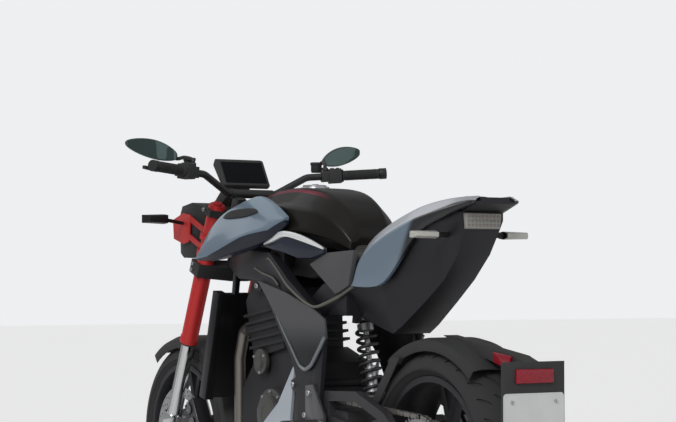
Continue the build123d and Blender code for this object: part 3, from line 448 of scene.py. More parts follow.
@material
def floor_finish(tree):
    glow = tree.blend(tree.node("ShaderNodeLightPath"), (0, 0, 0), (0.27, 0.27, 0.27))
    tree.feed(Base_Color=tree.blend(tree.noise(1.3, 4.0), (0.86, 0.86, 0.855), (0.90, 0.90, 0.895)),
              Roughness=0.6, Emission_Color=glow, Emission_Strength=1.0)


BRUSHED = (0.50, 0.50, 0.52)
FINISHES = {
    # slot: function, colour and the function's further values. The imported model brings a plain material
    # of each of these names, which is found first, so these rows aren't built and the plain ones show.
    "wheel_paint": (coated, (0.009, 0.009, 0.010), 0.34, 0.3, 1200.0, 0.00004),
    "tyre_rubber": (tyre_rubber,),
    "sprocket_steel": (turned_steel, (0.30, 0.30, 0.31), REAR_AXLE, 0.34),
    "chain_steel": (plain_steel, (0.30, 0.28, 0.24), 0.34),
    "black_metal": (coated, (0.010, 0.010, 0.011), 0.36, 0.4),
    "fork_red": (anodised, "fork"),
    "fork_chrome": (plain_steel, (0.72, 0.73, 0.74), 0.12),
    "axle_steel": (plain_steel, (0.46, 0.46, 0.47), 0.28),
    "caliper_metal": (cast_metal, (0.05, 0.05, 0.055), 0.42),
    "grip_rubber": (ribbed_rubber,),
    "black_plastic": (coated, (0.0095, 0.0098, 0.0095), 0.52, 0.0, 1400.0, 0.00012),
    "mirror_shell": (gloss_paint, (0.030, 0.045, 0.043), 0.2, False),
    "clear_lens": (lens, (0.62, 0.66, 0.70), 0.0, 0.04, 0.7),
    "frame_black": (coated, "frame", 0.3, 0.35, 700.0, 0.00005),
    "tank_dark": (gloss_paint, "tank", 0.16, False, 0.1),
    "cap_metal": (anodised, (0.30, 0.30, 0.31), 0.3),
    "seat_vinyl": (seat_vinyl,),
    "engine_dark": (cast_metal, (0.020, 0.020, 0.021), 0.46),
    "cover_metal": (cast_metal, (0.150, 0.150, 0.110), 0.42),
    "radiator_metal": (coated, (0.060, 0.061, 0.062), 0.5, 0.5),
    "exhaust_steel": (heated_steel, (0.29, 0.0, 0.64), 0.6),
    "muffler_metal": (plain_steel, (0.24, 0.24, 0.25), 0.34),
    "pan_silver": (gloss_paint, "silver", 0.3, True, 0.5),
    "swingarm_metal": (cast_metal, (0.125, 0.125, 0.127), 0.42),
    "alloy": (cast_metal, (0.22, 0.22, 0.23), 0.36),
    "shock_spring": (coated, (0.035, 0.036, 0.04), 0.3, 0.1),
}


def finish_of(finish):
    """The material of a slot, or the material itself where one is given."""
    if not isinstance(finish, str):
        return finish
    function, *values = FINISHES[finish]
    return function(finish, *values)


# Meshes


def linked(name, data):
    """A new object in the scene."""
    obj = bpy.data.objects.new(name, data)
    bpy.context.scene.collection.objects.link(obj)
    return obj


def smoothed(mesh, angle=35.0):
    """Shades a mesh smooth except over sharp edges."""
    mesh.shade_smooth()
    mesh.set_sharp_from_angle(angle=radians(angle))


@contextmanager
def editing(mesh):
    """Opens a mesh for edits, which are written back at the end."""
    work = bmesh.new()
    work.from_mesh(mesh)
    yield work
    work.to_mesh(mesh)
    work.free()


def make(name, verts, faces, finish, angle=35.0):
    """A mesh object at the origin."""
    mesh = bpy.data.meshes.new(name)
    mesh.from_pydata([tuple(v) for v in verts], [], faces)
    mesh.validate()
    mesh.update()
    mesh.materials.append(finish_of(finish))
    smoothed(mesh, angle)
    return linked(name, mesh)


def settle(obj, angle=35.0):
    """Turns an object's modifiers into its plain mesh."""
    mesh = bpy.data.meshes.new_from_object(obj.evaluated_get(bpy.context.evaluated_depsgraph_get()))
    finishes = list(obj.data.materials)
    obj.modifiers.clear()
    obj.data = mesh
    mesh.name = obj.name
    if finishes and not mesh.materials:
        mesh.materials.append(finishes[0])
    smoothed(mesh, angle)
    return obj


def merged(obj, distance=1e-5):
    """Merges doubles and turns every face outwards."""
    with editing(obj.data) as work:
        bmesh.ops.remove_doubles(work, verts=work.verts, dist=distance)
        bmesh.ops.recalc_face_normals(work, faces=work.faces)
    return obj


def seat_on(obj, body, slot, *nodes):
    """Lets a finished piece ride on its body, and stand for CAD nodes."""
    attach(obj, body)
    if nodes:
        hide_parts(*nodes)
    return obj


def rounded(node, share, segments, finish=None):
    """A CAD node's own shape with its edges rounded by a share of the plain edge's radius."""
    mesh = NODES[node].data.copy()
    obj = linked(node + "_rounded", mesh)
    with editing(mesh) as work:
        bmesh.ops.remove_doubles(work, verts=work.verts, dist=2e-5)
        bmesh.ops.dissolve_limit(work, angle_limit=radians(1.0), verts=work.verts, edges=work.edges)
    mesh.materials.clear()
    mesh.materials.append(finish_of(finish or SLOT_OF[node]))
    bevel = obj.modifiers.new("edges", "BEVEL")
    bevel.width, bevel.segments = share * sizes().edge, segments
    bevel.limit_method, bevel.angle_limit = "ANGLE", radians(28.0)
    return seat_on(settle(obj), BODY_OF[node], SLOT_OF[node], node)


def all_rounded(*rows):
    for row in rows:
        rounded(*row)


def circle(steps):
    """Cosines and sines once round."""
    return [(cos(2 * pi * k / steps), sin(2 * pi * k / steps)) for k in range(steps)]


def ring_faces(rows, columns, caps=True):
    """Faces of a grid whose rows are rings, and of its two ends."""
    faces = [(i * columns + j, i * columns + k, (i + 1) * columns + k, (i + 1) * columns + j)
             for i in range(rows - 1) for j, k in ((j, (j + 1) % columns) for j in range(columns))]
    if caps:
        faces += [tuple(reversed(range(columns))), tuple(range((rows - 1) * columns, rows * columns))]
    return faces


def subdivided(obj, levels, angle=40.0):
    skin = obj.modifiers.new("skin", "SUBSURF")
    skin.levels = skin.render_levels = levels
    return settle(obj, angle)


def loft(name, rings, finish, creased=(), end_crease=0.8, levels=2):
    """A closed, subdivided skin through rings of points; creased gives columns kept sharp, and weights."""
    columns, count = len(rings[0]), len(rings[0]) * len(rings)
    faces = ring_faces(len(rings), columns, caps=False)
    faces += [tuple(range(columns)), tuple(reversed(range(count - columns, count)))]
    obj = merged(make(name, [p for ring in rings for p in ring], faces, finish))
    crease = obj.data.attributes.new("crease_edge", "FLOAT", "EDGE")
    weights, ends = dict(creased), (set(range(columns)), set(range(count - columns, count)))
    for edge in obj.data.edges:
        a, b = edge.vertices
        if a % columns == b % columns and a % columns in weights:
            crease.data[edge.index].value = weights[a % columns]
        elif any({a, b} <= end for end in ends):
            crease.data[edge.index].value = end_crease
    return subdivided(obj, levels) if levels else obj


def pair(name, rings, finish, **settings):
    """A skin and its mirror image in one mesh."""
    mirrored = [[(x, -y, z) for x, y, z in ring] for ring in rings]
    return joined([loft(name + "_part", half, finish, **settings) for half in (rings, mirrored)], name)


def centred(rings):
    """Closes half rings, given from the lowest point up to the highest one, by their mirror image."""
    return [half + [(x, -y, z) for x, y, z in reversed(half) if abs(y) > 1e-6] for half in rings]


def between(table, x):
    """The other values of a table at x, on straight lines between its rows; x falls down the table."""
    for low, high in zip(table[1:], table):
        if low[0] <= x <= high[0]:
            share = (x - high[0]) / (low[0] - high[0])
            return [a + (b - a) * share for a, b in zip(high[1:], low[1:])]
    return list(table[0][1:] if x > table[0][0] else table[-1][1:])


def facing(direction, up=UP):
    """The turn that brings +Z to a direction, with +Y near up."""
    z = Vector(direction).normalized()
    x = Vector(up).cross(z)
    if x.length < 1e-6:
        x = Vector((1, 0, 0))
    x.normalize()
    return Matrix((x, z.cross(x), z)).transposed().to_quaternion()


def lengthwise(x):
    """The turn that brings +X to a direction in the machine's plane, with +Y to the left."""
    return Matrix((x, LEFT, x.cross(LEFT))).transposed().to_quaternion()


def aimed(place, direction=UP):
    """The frame at a place whose +Z is a direction."""
    return Matrix.Translation(place) @ facing(direction).to_matrix().to_4x4()


def placed(obj, matrix):
    """Moves a mesh, leaving its object at the origin."""
    obj.data.transform(matrix)
    return obj


def sweep(name, points, radii, finish, steps=12):
    """A round bar along points, with a radius at each."""
    verts, side = [], None
    for i, (p, r) in enumerate(zip(points, radii)):
        ahead = (points[min(i + 1, len(points) - 1)] - points[max(i - 1, 0)]).normalized()
        start = side or (UP if abs(ahead.z) < 0.9 else -BACK)
        side = (start - ahead * start.dot(ahead)).normalized()
        other = ahead.cross(side)
        verts += [p + (side * c + other * s) * r for c, s in circle(steps)]
    return merged(make(name, verts, ring_faces(len(points), steps), finish, 50.0), 1e-6)


def eased(points, share=4):
    """A smooth line through points, with a number of steps between each two."""
    line = []
    for i in range(len(points) - 1):
        a, b, c, d = (points[max(min(i + k, len(points) - 1), 0)] for k in (-1, 0, 1, 2))
        for t in (k / share for k in range(share)):
            line.append(0.5 * (2 * b + (c - a) * t + (2 * a - 5 * b + 4 * c - d) * t * t
                               + (3 * b - a - 3 * c + d) * t ** 3))
    return line + [points[-1]]


def joined(objs, name):
    """One mesh from several objects with the same finish."""
    work = bmesh.new()
    for o in objs:
        work.from_mesh(o.data)
    mesh = bpy.data.meshes.new(name)
    work.to_mesh(mesh)
    work.free()
    mesh.materials.append(objs[0].data.materials[0])
    for o in objs:
        bpy.data.objects.remove(o)
    smoothed(mesh)
    return linked(name, mesh)


def turned(name, profile, finish, steps=24):
    """A part turned about its own Z axis from (radius, height) in millimetres."""
    verts = [(r / 1000 * c, r / 1000 * s, z / 1000) for r, z in profile for c, s in circle(steps)]
    return merged(make(name, verts, ring_faces(len(profile), steps), finish), 1e-6)


# Repeats made by Geometry Nodes


def repeat_tree():
    """A tree that puts copies of a part on the points of the object's mesh, turned as each says."""
    found = bpy.data.node_groups.get("repeat_on_points")
    if found:
        return found
    group = bpy.data.node_groups.new("repeat_on_points", "GeometryNodeTree")
    for label, kind, way in (
        ("Points", "Geometry", "INPUT"), ("Part", "Object", "INPUT"), ("Size", "Float", "INPUT"),
        ("Finish", "Material", "INPUT"), ("Parts", "Geometry", "OUTPUT"),
    ):
        group.interface.new_socket(name=label, in_out=way, socket_type="NodeSocket" + kind)
    tree = Tree(group)
    given = tree.node("NodeGroupInput")
    part = tree.node("GeometryNodeObjectInfo", {"transform_space": "ORIGINAL"}, {"Object": given.of("Part")})
    turn = tree.node("GeometryNodeInputNamedAttribute", {"data_type": "QUATERNION"}, {"Name": "turn"})
    copies = tree.node("GeometryNodeInstanceOnPoints", {}, {
        "Points": given.of("Points"), "Instance": part.of("Geometry"), "Rotation": turn,
        "Scale": given.of("Size"),
    })
    real = tree.node("GeometryNodeRealizeInstances", {}, {"Geometry": copies})
    shown = tree.node("GeometryNodeSetMaterial", {}, {"Geometry": real, "Material": given.of("Finish")})
    tree.node("NodeGroupOutput", {}, {"Parts": shown})
    return group


def repeated(name, part, places, finish, size=1.0, angle=35.0):
    """One mesh of copies of a part, at places given as (point, turn); the part is used up."""
    mesh = bpy.data.meshes.new(name)
    mesh.from_pydata([tuple(p) for p, _ in places], [], [])
    turns = mesh.attributes.new("turn", "QUATERNION", "POINT")
    for item, (_, turn) in zip(turns.data, places):
        item.value = tuple(turn)
    obj = linked(name, mesh)
    modifier = obj.modifiers.new("repeat", "NODES")
    modifier.node_group = repeat_tree()
    inputs = {s.name: s.identifier for s in modifier.node_group.interface.items_tree if s.in_out == "INPUT"}
    for label, value in (("Part", part), ("Size", size), ("Finish", finish_of(finish))):
        modifier[inputs[label]] = value
    obj.update_tag()
    bpy.context.view_layer.update()
    settle(obj, angle)
    bpy.data.objects.remove(part)
    return obj


def row_of(name, part, places, body, slot, *nodes, finish=None, **settings):
    """Copies of a part as a piece that rides on a body."""
    return seat_on(repeated(name, part, places, finish or slot, **settings), body, slot, *nodes)


def socket_heads(name, radius, height, places, body="chassis"):
    """Steel screw heads, domed discs with a six-sided hole, of unit radius until they are repeated."""
    steps, hole, height = 18, 0.52, height / radius
    rims = ((0.98, 0.0), (1.0, height * 0.7), (0.86, height))
    verts = [(r * c, r * s, z) for r, z in rims for c, s in circle(steps)]
    for z in (height, height * 0.35):
        for k, (c, s) in enumerate(circle(steps)):
            flat = hole * cos(pi / 6) / cos((2 * pi * k / steps + pi / 6) % (pi / 3) - pi / 6)
            verts.append((flat * c, flat * s, z))
    faces = [*ring_faces(5, steps, caps=False), tuple(range(4 * steps, 5 * steps))]
    head = merged(make("socket_head", verts, faces, "axle_steel"), 1e-6)
    row_of(name, head, places, body, "axle_steel", size=radius / 1000)


def ring_places(centre, axis, radius, count, phase=0.0):
    """Places on a circle round an axis, each facing along it."""
    z = Vector(axis)
    x = (UP if abs(z.z) < 0.9 else -BACK).cross(z).normalized()
    y = z.cross(x)
    return [(Vector(centre) + (x * cos(a) + y * sin(a)) * radius, facing(z))
            for a in (phase + 2 * pi * k / count for k in range(count))]


def both_sides(spots):
    """Places at (x, y, z) in millimetres and at their mirror images, facing away from the middle."""
    return [(mm(x, side * y, z), facing((0, side, 0))) for side in SIDES for x, y, z in spots]


# Wheels and tyres


class MOTORCYCLE_OT_wheels(bpy.types.Operator):
    """Cast wheels, axles, sprocket with its nuts, and bored discs with their bolts"""
    bl_idname = "motorcycle.wheels"
    bl_label = "Wheels"

    def execute(self, context):
        all_rounded(
            ("front_wheel", 1.5, 2), ("rear_wheel", 1.5, 2),
            ("front_discs", 0.3, 1, turned_steel("front_disc_steel", BRUSHED, FRONT_AXLE)),
            ("rear_disc", 0.3, 1, turned_steel("rear_disc_steel", BRUSHED, REAR_AXLE)),
            ("rear_sprocket", 0.25, 1), ("front_axle", 0.5, 2), ("rear_axle", 0.5, 2),
        )
        self.bolts()
        self.bores()
        return {"FINISHED"}

    def bolts(self):
        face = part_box("front_discs")[1].y
        for side, word in ((1, "left"), (-1, "right")):
            places = ring_places((FRONT_AXLE.x, side * face, FRONT_AXLE.z), (0, side, 0), 0.037, 6)
            socket_heads(f"front_wheel_disc_bolts_{word}", 6.2, 5, places, "front_wheel")
        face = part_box("rear_sprocket")[1].y
        places = ring_places((REAR_AXLE.x, face, REAR_AXLE.z), LEFT, 0.052, 5, 0.3)
        socket_heads("sprocket_nuts", 8, 7, places, "rear_wheel")

    def bores(self):
        """Three staggered rows of bores in the band of each disc."""
        for body, centre, sides, face, inner in (
            ("front_wheel", FRONT_AXLE, (1, -1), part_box("front_discs")[1].y, 0.1285),
            ("rear_wheel", REAR_AXLE, (-1,), -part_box("rear_disc")[0].y, 0.0835),
        ):
            places = []
            for side in sides:
                for row in range(3):
                    spot = (centre.x, side * face, centre.z)
                    places += ring_places(spot, (0, side, 0), inner + 0.0095 * row, 24, 0.09 * row)
            bore = turned("bore", ((3.1, -0.4), (3.1, 0.15), (2.6, 0.15)), "black_metal", 12)
            row_of(body + "_disc_bores", bore, places, body, "black_metal")


class MOTORCYCLE_OT_tyres(bpy.types.Operator):
    """Road tyres with cut grooves, a rounded crown and ribbed walls"""
    bl_idname = "motorcycle.tyres"
    bl_label = "Tyres"

    WALL = (
        # share of the way from the crown's edge to the rim, how far the wall bulges there
        (0.12, 0.0016), (0.3, 0.002), (0.34, 0.0), (0.6, -0.0004), (0.64, 0.0014), (0.9, 0.0014), (1.0, 0),
    )
    SLOTS = (
        # middle across, middle along, half length, half width, slant in degrees
        (0.20, 0.30, 0.30, 0.055, 62), (-0.20, 0.80, 0.30, 0.055, -62),
        (0.62, 0.55, 0.22, 0.045, 50), (-0.62, 0.05, 0.22, 0.045, -50),
    )

    def execute(self, context):
        self.tyre("front_tyre", FRONT_AXLE, 0.050, 0.048)
        self.tyre("rear_tyre", REAR_AXLE, 0.060, 0.069)
        return {"FINISHED"}

    def tyre(self, node, axle, rise, rim_half):
        """The tread's repeats round a crown of some rise, and both walls from its edges to the rim."""
        high, rim, lip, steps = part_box(node)[1], 0.230, 0.2195, 96
        half, radius = high.y, high.z - axle.z
        arc = (half * half + rise * rise) / (2 * rise)
        reach, edge, count = asin(half / arc), radius - rise, sizes().tread_repeats
        step = 2 * pi / count

        def place(u, v, sink=0.0):
            """u runs across the crown from -1 to 1, v along one repeat."""
            r = radius - arc + (arc - sink) * cos(u * reach)
            return Vector((r * sin(v * step), (arc - sink) * sin(u * reach), r * cos(v * step)))

        part = self.tread(node, place, half * 1.15, radius * step)
        places = [(axle, Matrix.Rotation(k * step, 3, "Y").to_quaternion()) for k in range(count)]
        parts = [merged(repeated(node + "_tread", part, places, "tyre_rubber"), 2e-5)]
        profile = [(half, edge)]
        for share, out in self.WALL:
            y = half + (rim_half - half) * share ** 1.35
            profile.append((min(y + out, half), edge + (rim - edge) * share))
        profile += [(rim_half, lip), (rim_half - 0.012, lip)]
        for side in (1, -1):
            verts = [(axle.x + r * s, side * y, axle.z + r * c)
                     for y, r in profile for c, s in circle(steps)]
            faces = ring_faces(len(profile), steps, caps=False)
            parts.append(merged(make(node + "_wall", verts, faces, "tyre_rubber")))
        seat_on(joined(parts, node + "_rubber"), BODY_OF[node], "tyre_rubber", node)

    def tread(self, node, place, width, pitch):
        """One repeat of the tread: a flat sheet, triangulated round its slots and wrapped on the crown."""
        across, along = 20, 6
        points = [Vector((-1 + 2 * i / across, j / along))
                  for i in range(across + 1) for j in range(along + 1)]
        slots, edges = [], []
        for u, v, run, wide, slant in self.SLOTS:
            c, s = cos(radians(slant)), sin(radians(slant))
            for shift in (-1, 0, 1):
                slot = []
                for over, up in circle(12):
                    x, y = run * over * width, wide * up * width * (1.0 if abs(up) > 0.3 else 0.7)
                    slot.append((u + (x * c - y * s) / width, v + shift + (x * s + y * c) / pitch))
                if min(q for _, q in slot) <= 1 and max(q for _, q in slot) >= 0:
                    slots.append(slot)
        for loop in (*slots, [(-1, 0), (1, 0), (1, 1), (-1, 1)]):
            start, count = len(points), len(loop)
            points += [Vector(p) for p in loop]
            edges += [(start + k, start + (k + 1) % count) for k in range(count)]
        flat, _, cut, *_ = delaunay_2d_cdt(points, edges, [], 0, 1e-5)
        verts, faces, index, sides = [], [], {}, {}

        def vertex(i, sunk):
            if (i, sunk) not in index:
                x, y = flat[i]
                index[i, sunk] = len(verts)
                verts.append(place(x, y, sizes().groove * min(1.0, (1 - abs(x)) * 12) if sunk else 0.0))
            return index[i, sunk]

        for face in cut:
            middle = sum((flat[i] for i in face), Vector((0, 0))) / len(face)
            if 0 <= middle.y <= 1:
                sunk = any(self.within(middle, slot) for slot in slots)
                faces.append([vertex(i, sunk) for i in face])
                for a, b in zip(face, face[1:] + face[:1]):
                    sides.setdefault(frozenset((a, b)), []).append((a, b, sunk))
        for found in sides.values():
            if len(found) == 2 and found[0][2] != found[1][2]:
                a, b, _ = found[0] if found[0][2] else found[1]
                faces.append([vertex(b, True), vertex(a, True), vertex(a, False), vertex(b, False)])
        return make(node + "_block", verts, faces, "tyre_rubber")

    def within(self, point, loop):
        crossings = 0
        for (x0, y0), (x1, y1) in zip(loop, loop[1:] + loop[:1]):
            if (y0 > point.y) != (y1 > point.y) and point.x < x0 + (x1 - x0) * (point.y - y0) / (y1 - y0):
                crossings += 1
        return crossings % 2 == 1


# Fork, bar and what they carry


STEER = Matrix.Translation(STEER_POINT) @ Matrix((
    (STEER_AXIS.z, 0, STEER_AXIS.x, 0), (0, 1, 0, 0), (-STEER_AXIS.x, 0, STEER_AXIS.z, 0), (0, 0, 0, 1),
))
BAR_IN, BAR_END = (408, 185, 1128), (312, 400, 1142)
CALIPER_ANGLE = radians(151.5)


def bar_place(side, back):
    """The frame on a bar end: +Z outwards along the bar, +Y up, its origin a distance from the tip."""
    inner, outer = mm(*BAR_IN), mm(*BAR_END)
    run = (outer - inner).normalized()
    at = outer - run * back
    return aimed((at.x, at.y * side, at.z), (run.x, run.y * side, run.z))


class MOTORCYCLE_OT_fork(bpy.types.Operator):
    """Upside-down fork with seals, caps, yokes, fender and calipers"""
    bl_idname = "motorcycle.fork"
    bl_label = "Fork"

    def execute(self, context):
        all_rounded(
            ("fork_yokes", 2, 3), ("fork_sliders", 1.5, 3), ("front_fender", 0.6, 2),
            ("front_calipers", 2, 3), ("steering_head", 1, 2),
        )
        for name, slot, nodes, steps, profile in (
            ("fork_outer_tubes", "fork_red", ["fork_tubes"], 64, (
                (21.8, 330), (29, 330), (29.5, 332), (29.5, 350), (27, 356), (27, 798), (25.8, 800),
                (18, 800))),
            ("fork_caps", "fork_red", [], 48, (
                (24.5, 799.5), (24.5, 803.5), (23.5, 804.5), (14, 804.5), (14, 811), (12.8, 812.2),
                (5, 812.2), (5, 810))),
            ("fork_seals", "grip_rubber", [], 64, (
                (21.6, 323.5), (24.5, 323.5), (28.2, 326.2), (28.5, 329.8), (22.2, 329.8))),
        ):
            legs = [placed(turned("leg_part", profile, slot, steps),
                           STEER @ Matrix.Translation((0.032, side * 0.105, 0))) for side in SIDES]
            seat_on(joined(legs, name), "steering", slot, *nodes)
        places = [(STEER @ Vector((0.0475, side * 0.1395, z)), facing(STEER.to_3x3() @ Vector((0, side, 0))))
                  for z in (0.577, 0.597, 0.781) for side in SIDES]
        socket_heads("yoke_bolts", 6.2, 5.5, places, "steering")
        cover = turned("piston_cover", ((15, 0), (15, 2.2), (13.5, 3.4), (8, 3.4), (7, 2.2)), "alloy", 28)
        row_of("piston_covers", cover, self.on_calipers(0.143, 0.15), "steering", "alloy")
        socket_heads("caliper_bolts", 5.5, 5, self.on_calipers(0.152, 0.27), "steering")
        return {"FINISHED"}

    def on_calipers(self, radius, spread):
        """Places on the outer faces of both calipers, two on each."""
        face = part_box("front_calipers")[1].y - 0.0002
        return [(FRONT_AXLE + Vector((radius * cos(a), side * face, radius * sin(a))), facing((0, side, 0)))
                for side in SIDES for a in (CALIPER_ANGLE - spread, CALIPER_ANGLE + spread)]


class MOTORCYCLE_OT_bar(bpy.types.Operator):
    """Handlebar with ribbed grips, switches, levers, reservoirs and mirrors"""
    bl_idname = "motorcycle.bar"
    bl_label = "Bar"

    MIRROR = (
        # y, x back, x front, z low, z high
        (263, 434, 446, 1174, 1190), (276, 434, 453, 1167, 1205), (300, 439, 459, 1165, 1222),
        (336, 443, 464, 1168, 1236), (380, 453, 471, 1182, 1239), (414, 461, 475, 1200, 1234),
        (427, 466, 475, 1213, 1227),
    )

    def execute(self, context):
        all_rounded(("handlebar", 0.6, 2), ("bar_controls", 1.7, 3))
        self.grips()
        self.switches()
        self.mirrors()
        return {"FINISHED"}

    def grips(self):
        sleeve = ((11.5, -1.5), (19.5, -1.5), (20.5, 0), (19.5, 2.5), (15.6, 4), (15, 30), (15.6, 58),
                  (15, 90), (15.8, 114), (16.5, 116.5), (11.5, 116.5))
        grips, places = [], []
        for side in SIDES:
            at = bar_place(side, 0.120)
            grips.append(placed(turned("grip", sleeve, "grip_rubber", 40), at))
            places += [(at @ Vector((0, 0, 0.010 + 0.0039 * k)), at.to_quaternion()) for k in range(26)]
        seat_on(joined(grips, "grip_sleeves"), "steering", "grip_rubber", "grips")
        ring = ((14, 0), (16.2, 0.4), (16.5, 1.2), (16.2, 2), (14, 2.4))
        rib = turned("grip_rib", ring, "grip_rubber", 28)
        row_of("grip_ribs", rib, places, "steering", "grip_rubber", angle=50.0)

    def switches(self):
        buttons, reservoirs = [], []
        cup = ((15, 0), (17.5, 4), (17.5, 24), (19.5, 25), (19.5, 31), (17.5, 33))
        for side in SIDES:
            for across, along, size in ((-12, 12, 6.2), (4, 12, 5.2), (-6, 30, 5.8)):
                button = turned("button", ((size, 0), (size, 2.2), (size * 0.8, 3.2)), "alloy", 20)
                spot = aimed(Vector((across, 22.9, along)) / 1000, LEFT)
                buttons.append(placed(button, bar_place(side, 0.166) @ spot))
            foot = bar_place(side, 0.182).to_translation() + Vector((0.036, -side * 0.004, 0.014))
            reservoirs.append(placed(turned("reservoir", cup, "black_plastic", 36), aimed(foot)))
        seat_on(joined(buttons, "switch_buttons"), "steering", "alloy")
        seat_on(joined(reservoirs, "reservoirs"), "steering", "black_plastic")

    def mirrors(self):
        rings, glass, stems = [], [], []
        for y, a, b, low, high in self.MIRROR:
            mid, deep, ridge = (low + high) / 2, (high - low) / 2, a + (b - a) * 0.45
            rings.append([mm(x, y, z) for x, z in (
                (a, mid - deep * 0.9), (a, mid), (a, mid + deep * 0.9), (ridge, high), (b, mid + deep * 0.6),
                (b + 1, mid), (b, mid - deep * 0.6), (ridge, low))])
        for y in (270, 276, 288, 304, 322, 340, 360, 380, 398, 412, 420):
            a, _, low, high = between(self.MIRROR[::-1], y)
            mid, deep = (low + high) / 2, (high - low) / 2 * 0.84 - 1
            glass.append([mm(x, y, mid + z) for x, z in (
                (a + 3, -deep), (a - 0.8, -deep), (a - 0.8, 0), (a - 0.8, deep), (a + 3, deep), (a + 4, 0))])
        shells = pair("mirror_shells", rings, "mirror_shell", creased=((0, 0.6), (2, 0.6)), end_crease=0.2)
        panes = pair("mirror_panes", glass, mirror_glass("mirror_glass"), creased=((1, 0.9), (3, 0.9)),
                     end_crease=0.6)
        for side in SIDES:
            foot = bar_place(side, 0.166) @ Vector((0, 0.018, -0.010))
            top = foot + Vector((0, 0, 0.020))
            neck, tip = mm(446, side * 262, 1176), mm(450, side * 292, 1190)
            line = eased([foot, top, (top + neck) / 2 + Vector((0.002, 0, 0.006)), neck, tip], 5)
            stems.append(sweep("mirror_stem", line, [0.0058] * len(line), "black_metal", 16))
            nut = turned("stem_nut", ((10.5, 0), (10.5, 9), (9, 11)), "black_metal", 6)
            stems.append(placed(nut, aimed(foot)))
        seat_on(shells, "steering", "mirror_shell", "mirrors")
        seat_on(panes, "steering", "mirror_shell")
        seat_on(joined(stems, "mirror_stems"), "steering", "black_metal")


class MOTORCYCLE_OT_lamps(bpy.types.Operator):
    """Headlamp, display, turn signals, rear lamp, reflectors and the blank plate"""
    bl_idname = "motorcycle.lamps"
    bl_label = "Lamps"

    def execute(self, context):
        smoked = signal_plastic("signal_plastic")
        all_rounded(
            ("headlamp", 3, 3), ("headlamp_lens", 1, 3), ("lamp_stays", 0.75, 2), ("instruments", 2, 3),
            ("front_signals", 2.25, 3, smoked), ("rear_signals", 2, 3, smoked),
        )
        self.headlight()
        self.display()
        self.rear()
        self.plate()
        return {"FINISHED"}

    def headlight(self):
        """Lamp bowls and a pale running light seen on the lens."""
        outline = ((-52, 26), (52, 26), (46, 19), (-46, 19))
        rings = [ring_at(x, [(y * grow, 945 + z * grow) for y, z in outline])
                 for x, grow in ((797.4, 1.0), (798.6, 0.94))]
        glow = lens("running_light", (0.85, 0.88, 0.92), 0.35, 0.1, 0.0)
        seat_on(loft("running_light", rings, glow, levels=0), "steering", "clear_lens")
        profile = ((20.5, 0), (20.5, 1.4), (18.5, 1.8), (16.5, 0.8), (10, 0.4))
        bowls = [placed(turned("lamp_bowl", profile, "fork_chrome", 36),
                        aimed(mm(797.2, side * 25, 936), -BACK)) for side in SIDES]
        seat_on(joined(bowls, "lamp_bowls"), "steering", "fork_chrome")

    def display(self):
        """A dark glass plate on the face that the rider sees."""
        foot, top = mm(462, 0, 1100), mm(510, 0, 1182)
        along = (top - foot).normalized()
        out, rings = Vector((-along.z, 0, along.x)), []
        for lift, half in ((0.0, 0.074), (0.0012, 0.074), (0.0016, 0.074 * 0.985)):
            low, high = foot + along * 0.010 + out * lift, top - along * 0.008 + out * lift
            rings.append([low - LEFT * half, low + LEFT * half, high + LEFT * half, high - LEFT * half])
        finish = coated("display_glass", (0.006, 0.007, 0.009), 0.12, 0.0, 300.0, 0.00001)
        seat_on(loft("display_glass", rings, finish, levels=0), "steering", "black_plastic")

    def rear(self):
        """The smoked lens below the hood with its cells, and red reflectors."""
        rounded("rear_lamps", 0.6, 2, rear_lamp_plastic("rear_lamp_plastic"))
        smoke = lens("lamp_cell", (0.36, 0.30, 0.27))
        places = [(mm(-793.6, y, z), facing(BACK)) for y in range(-48, 49, 12) for z in (945, 957, 968)]
        cell = turned("lamp_cell", ((4.2, 0), (4.2, 0.6), (2.2, 1.2)), smoke, 16)
        row_of("rear_lamp_cells", cell, places, "chassis", "lamp_red", finish=smoke)

    def plate(self):
        """A blank plate with rounded corners, a raised rim and two screws."""
        back, rings = -1005.2, []
        for half, low, high, corner, lift in (
            (97, 383, 512, 10, 0), (97, 383, 512, 10, 1.6), (94, 386, 509, 8, 1.9),
            (92.5, 387.5, 507.5, 7, 1.1),
        ):
            right, foot, top = half - corner, low + corner, high - corner
            corners = ((right, top, 0), (-right, top, 90), (-right, foot, 180), (right, foot, 270))
            rings.append(ring_at(back - lift, [
                (y + corner * cos(a), z + corner * sin(a))
                for y, z, start in corners for a in (radians(start + 18 * k) for k in range(6))]))
        seat_on(loft("blank_plate", rings, plate_film("plate_film"), levels=0), "chassis", "alloy")
        places = [(mm(back - 1.4, side * 70, 490), facing(BACK)) for side in SIDES]
        socket_heads("plate_screws", 4.8, 3.5, places)


# Tank, panels and seats


SHROUD = [
    # x, low z, edge z, top z, inner y, low y, edge y, top y
    (391, 860, 864, 872, 204, 214, 226, 222),
    (318, 858, 872, 968, 180, 206, 228, 212),
    (250, 874, 892, 1012, 150.3, 200, 224, 198),
    (144, 894, 926, 1046, 150.3, 186, 214, 172),
    (100, 903, 935, 1056, 150.3, 180, 208, 164),
    (16, 926, 946, 1022, 150.3, 170, 194, 162),
    (-44, 962, 974, 986, 150.3, 158, 170, 160),
]
TANK = [
    # x, low z, half, mid z, half, shoulder z, half, top z, half
    (330, 905, 60, 940, 82, 985, 80, 1018, 45),
    (270, 902, 76, 942, 118, 1002, 108, 1044, 60),
    (210, 900, 92, 945, 149, 1012, 134, 1059, 72),
    (90, 897, 110, 945, 149, 1020, 140, 1076, 80),
    (-50, 897, 110, 945, 149, 1020, 133, 1073, 76),
    (-170, 893, 95, 932, 134, 992, 117, 1043, 64),
    (-236, 882, 82, 908, 100, 948, 92, 986, 55),
    (-268, 872, 70, 886, 82, 908, 78, 926, 50),
]
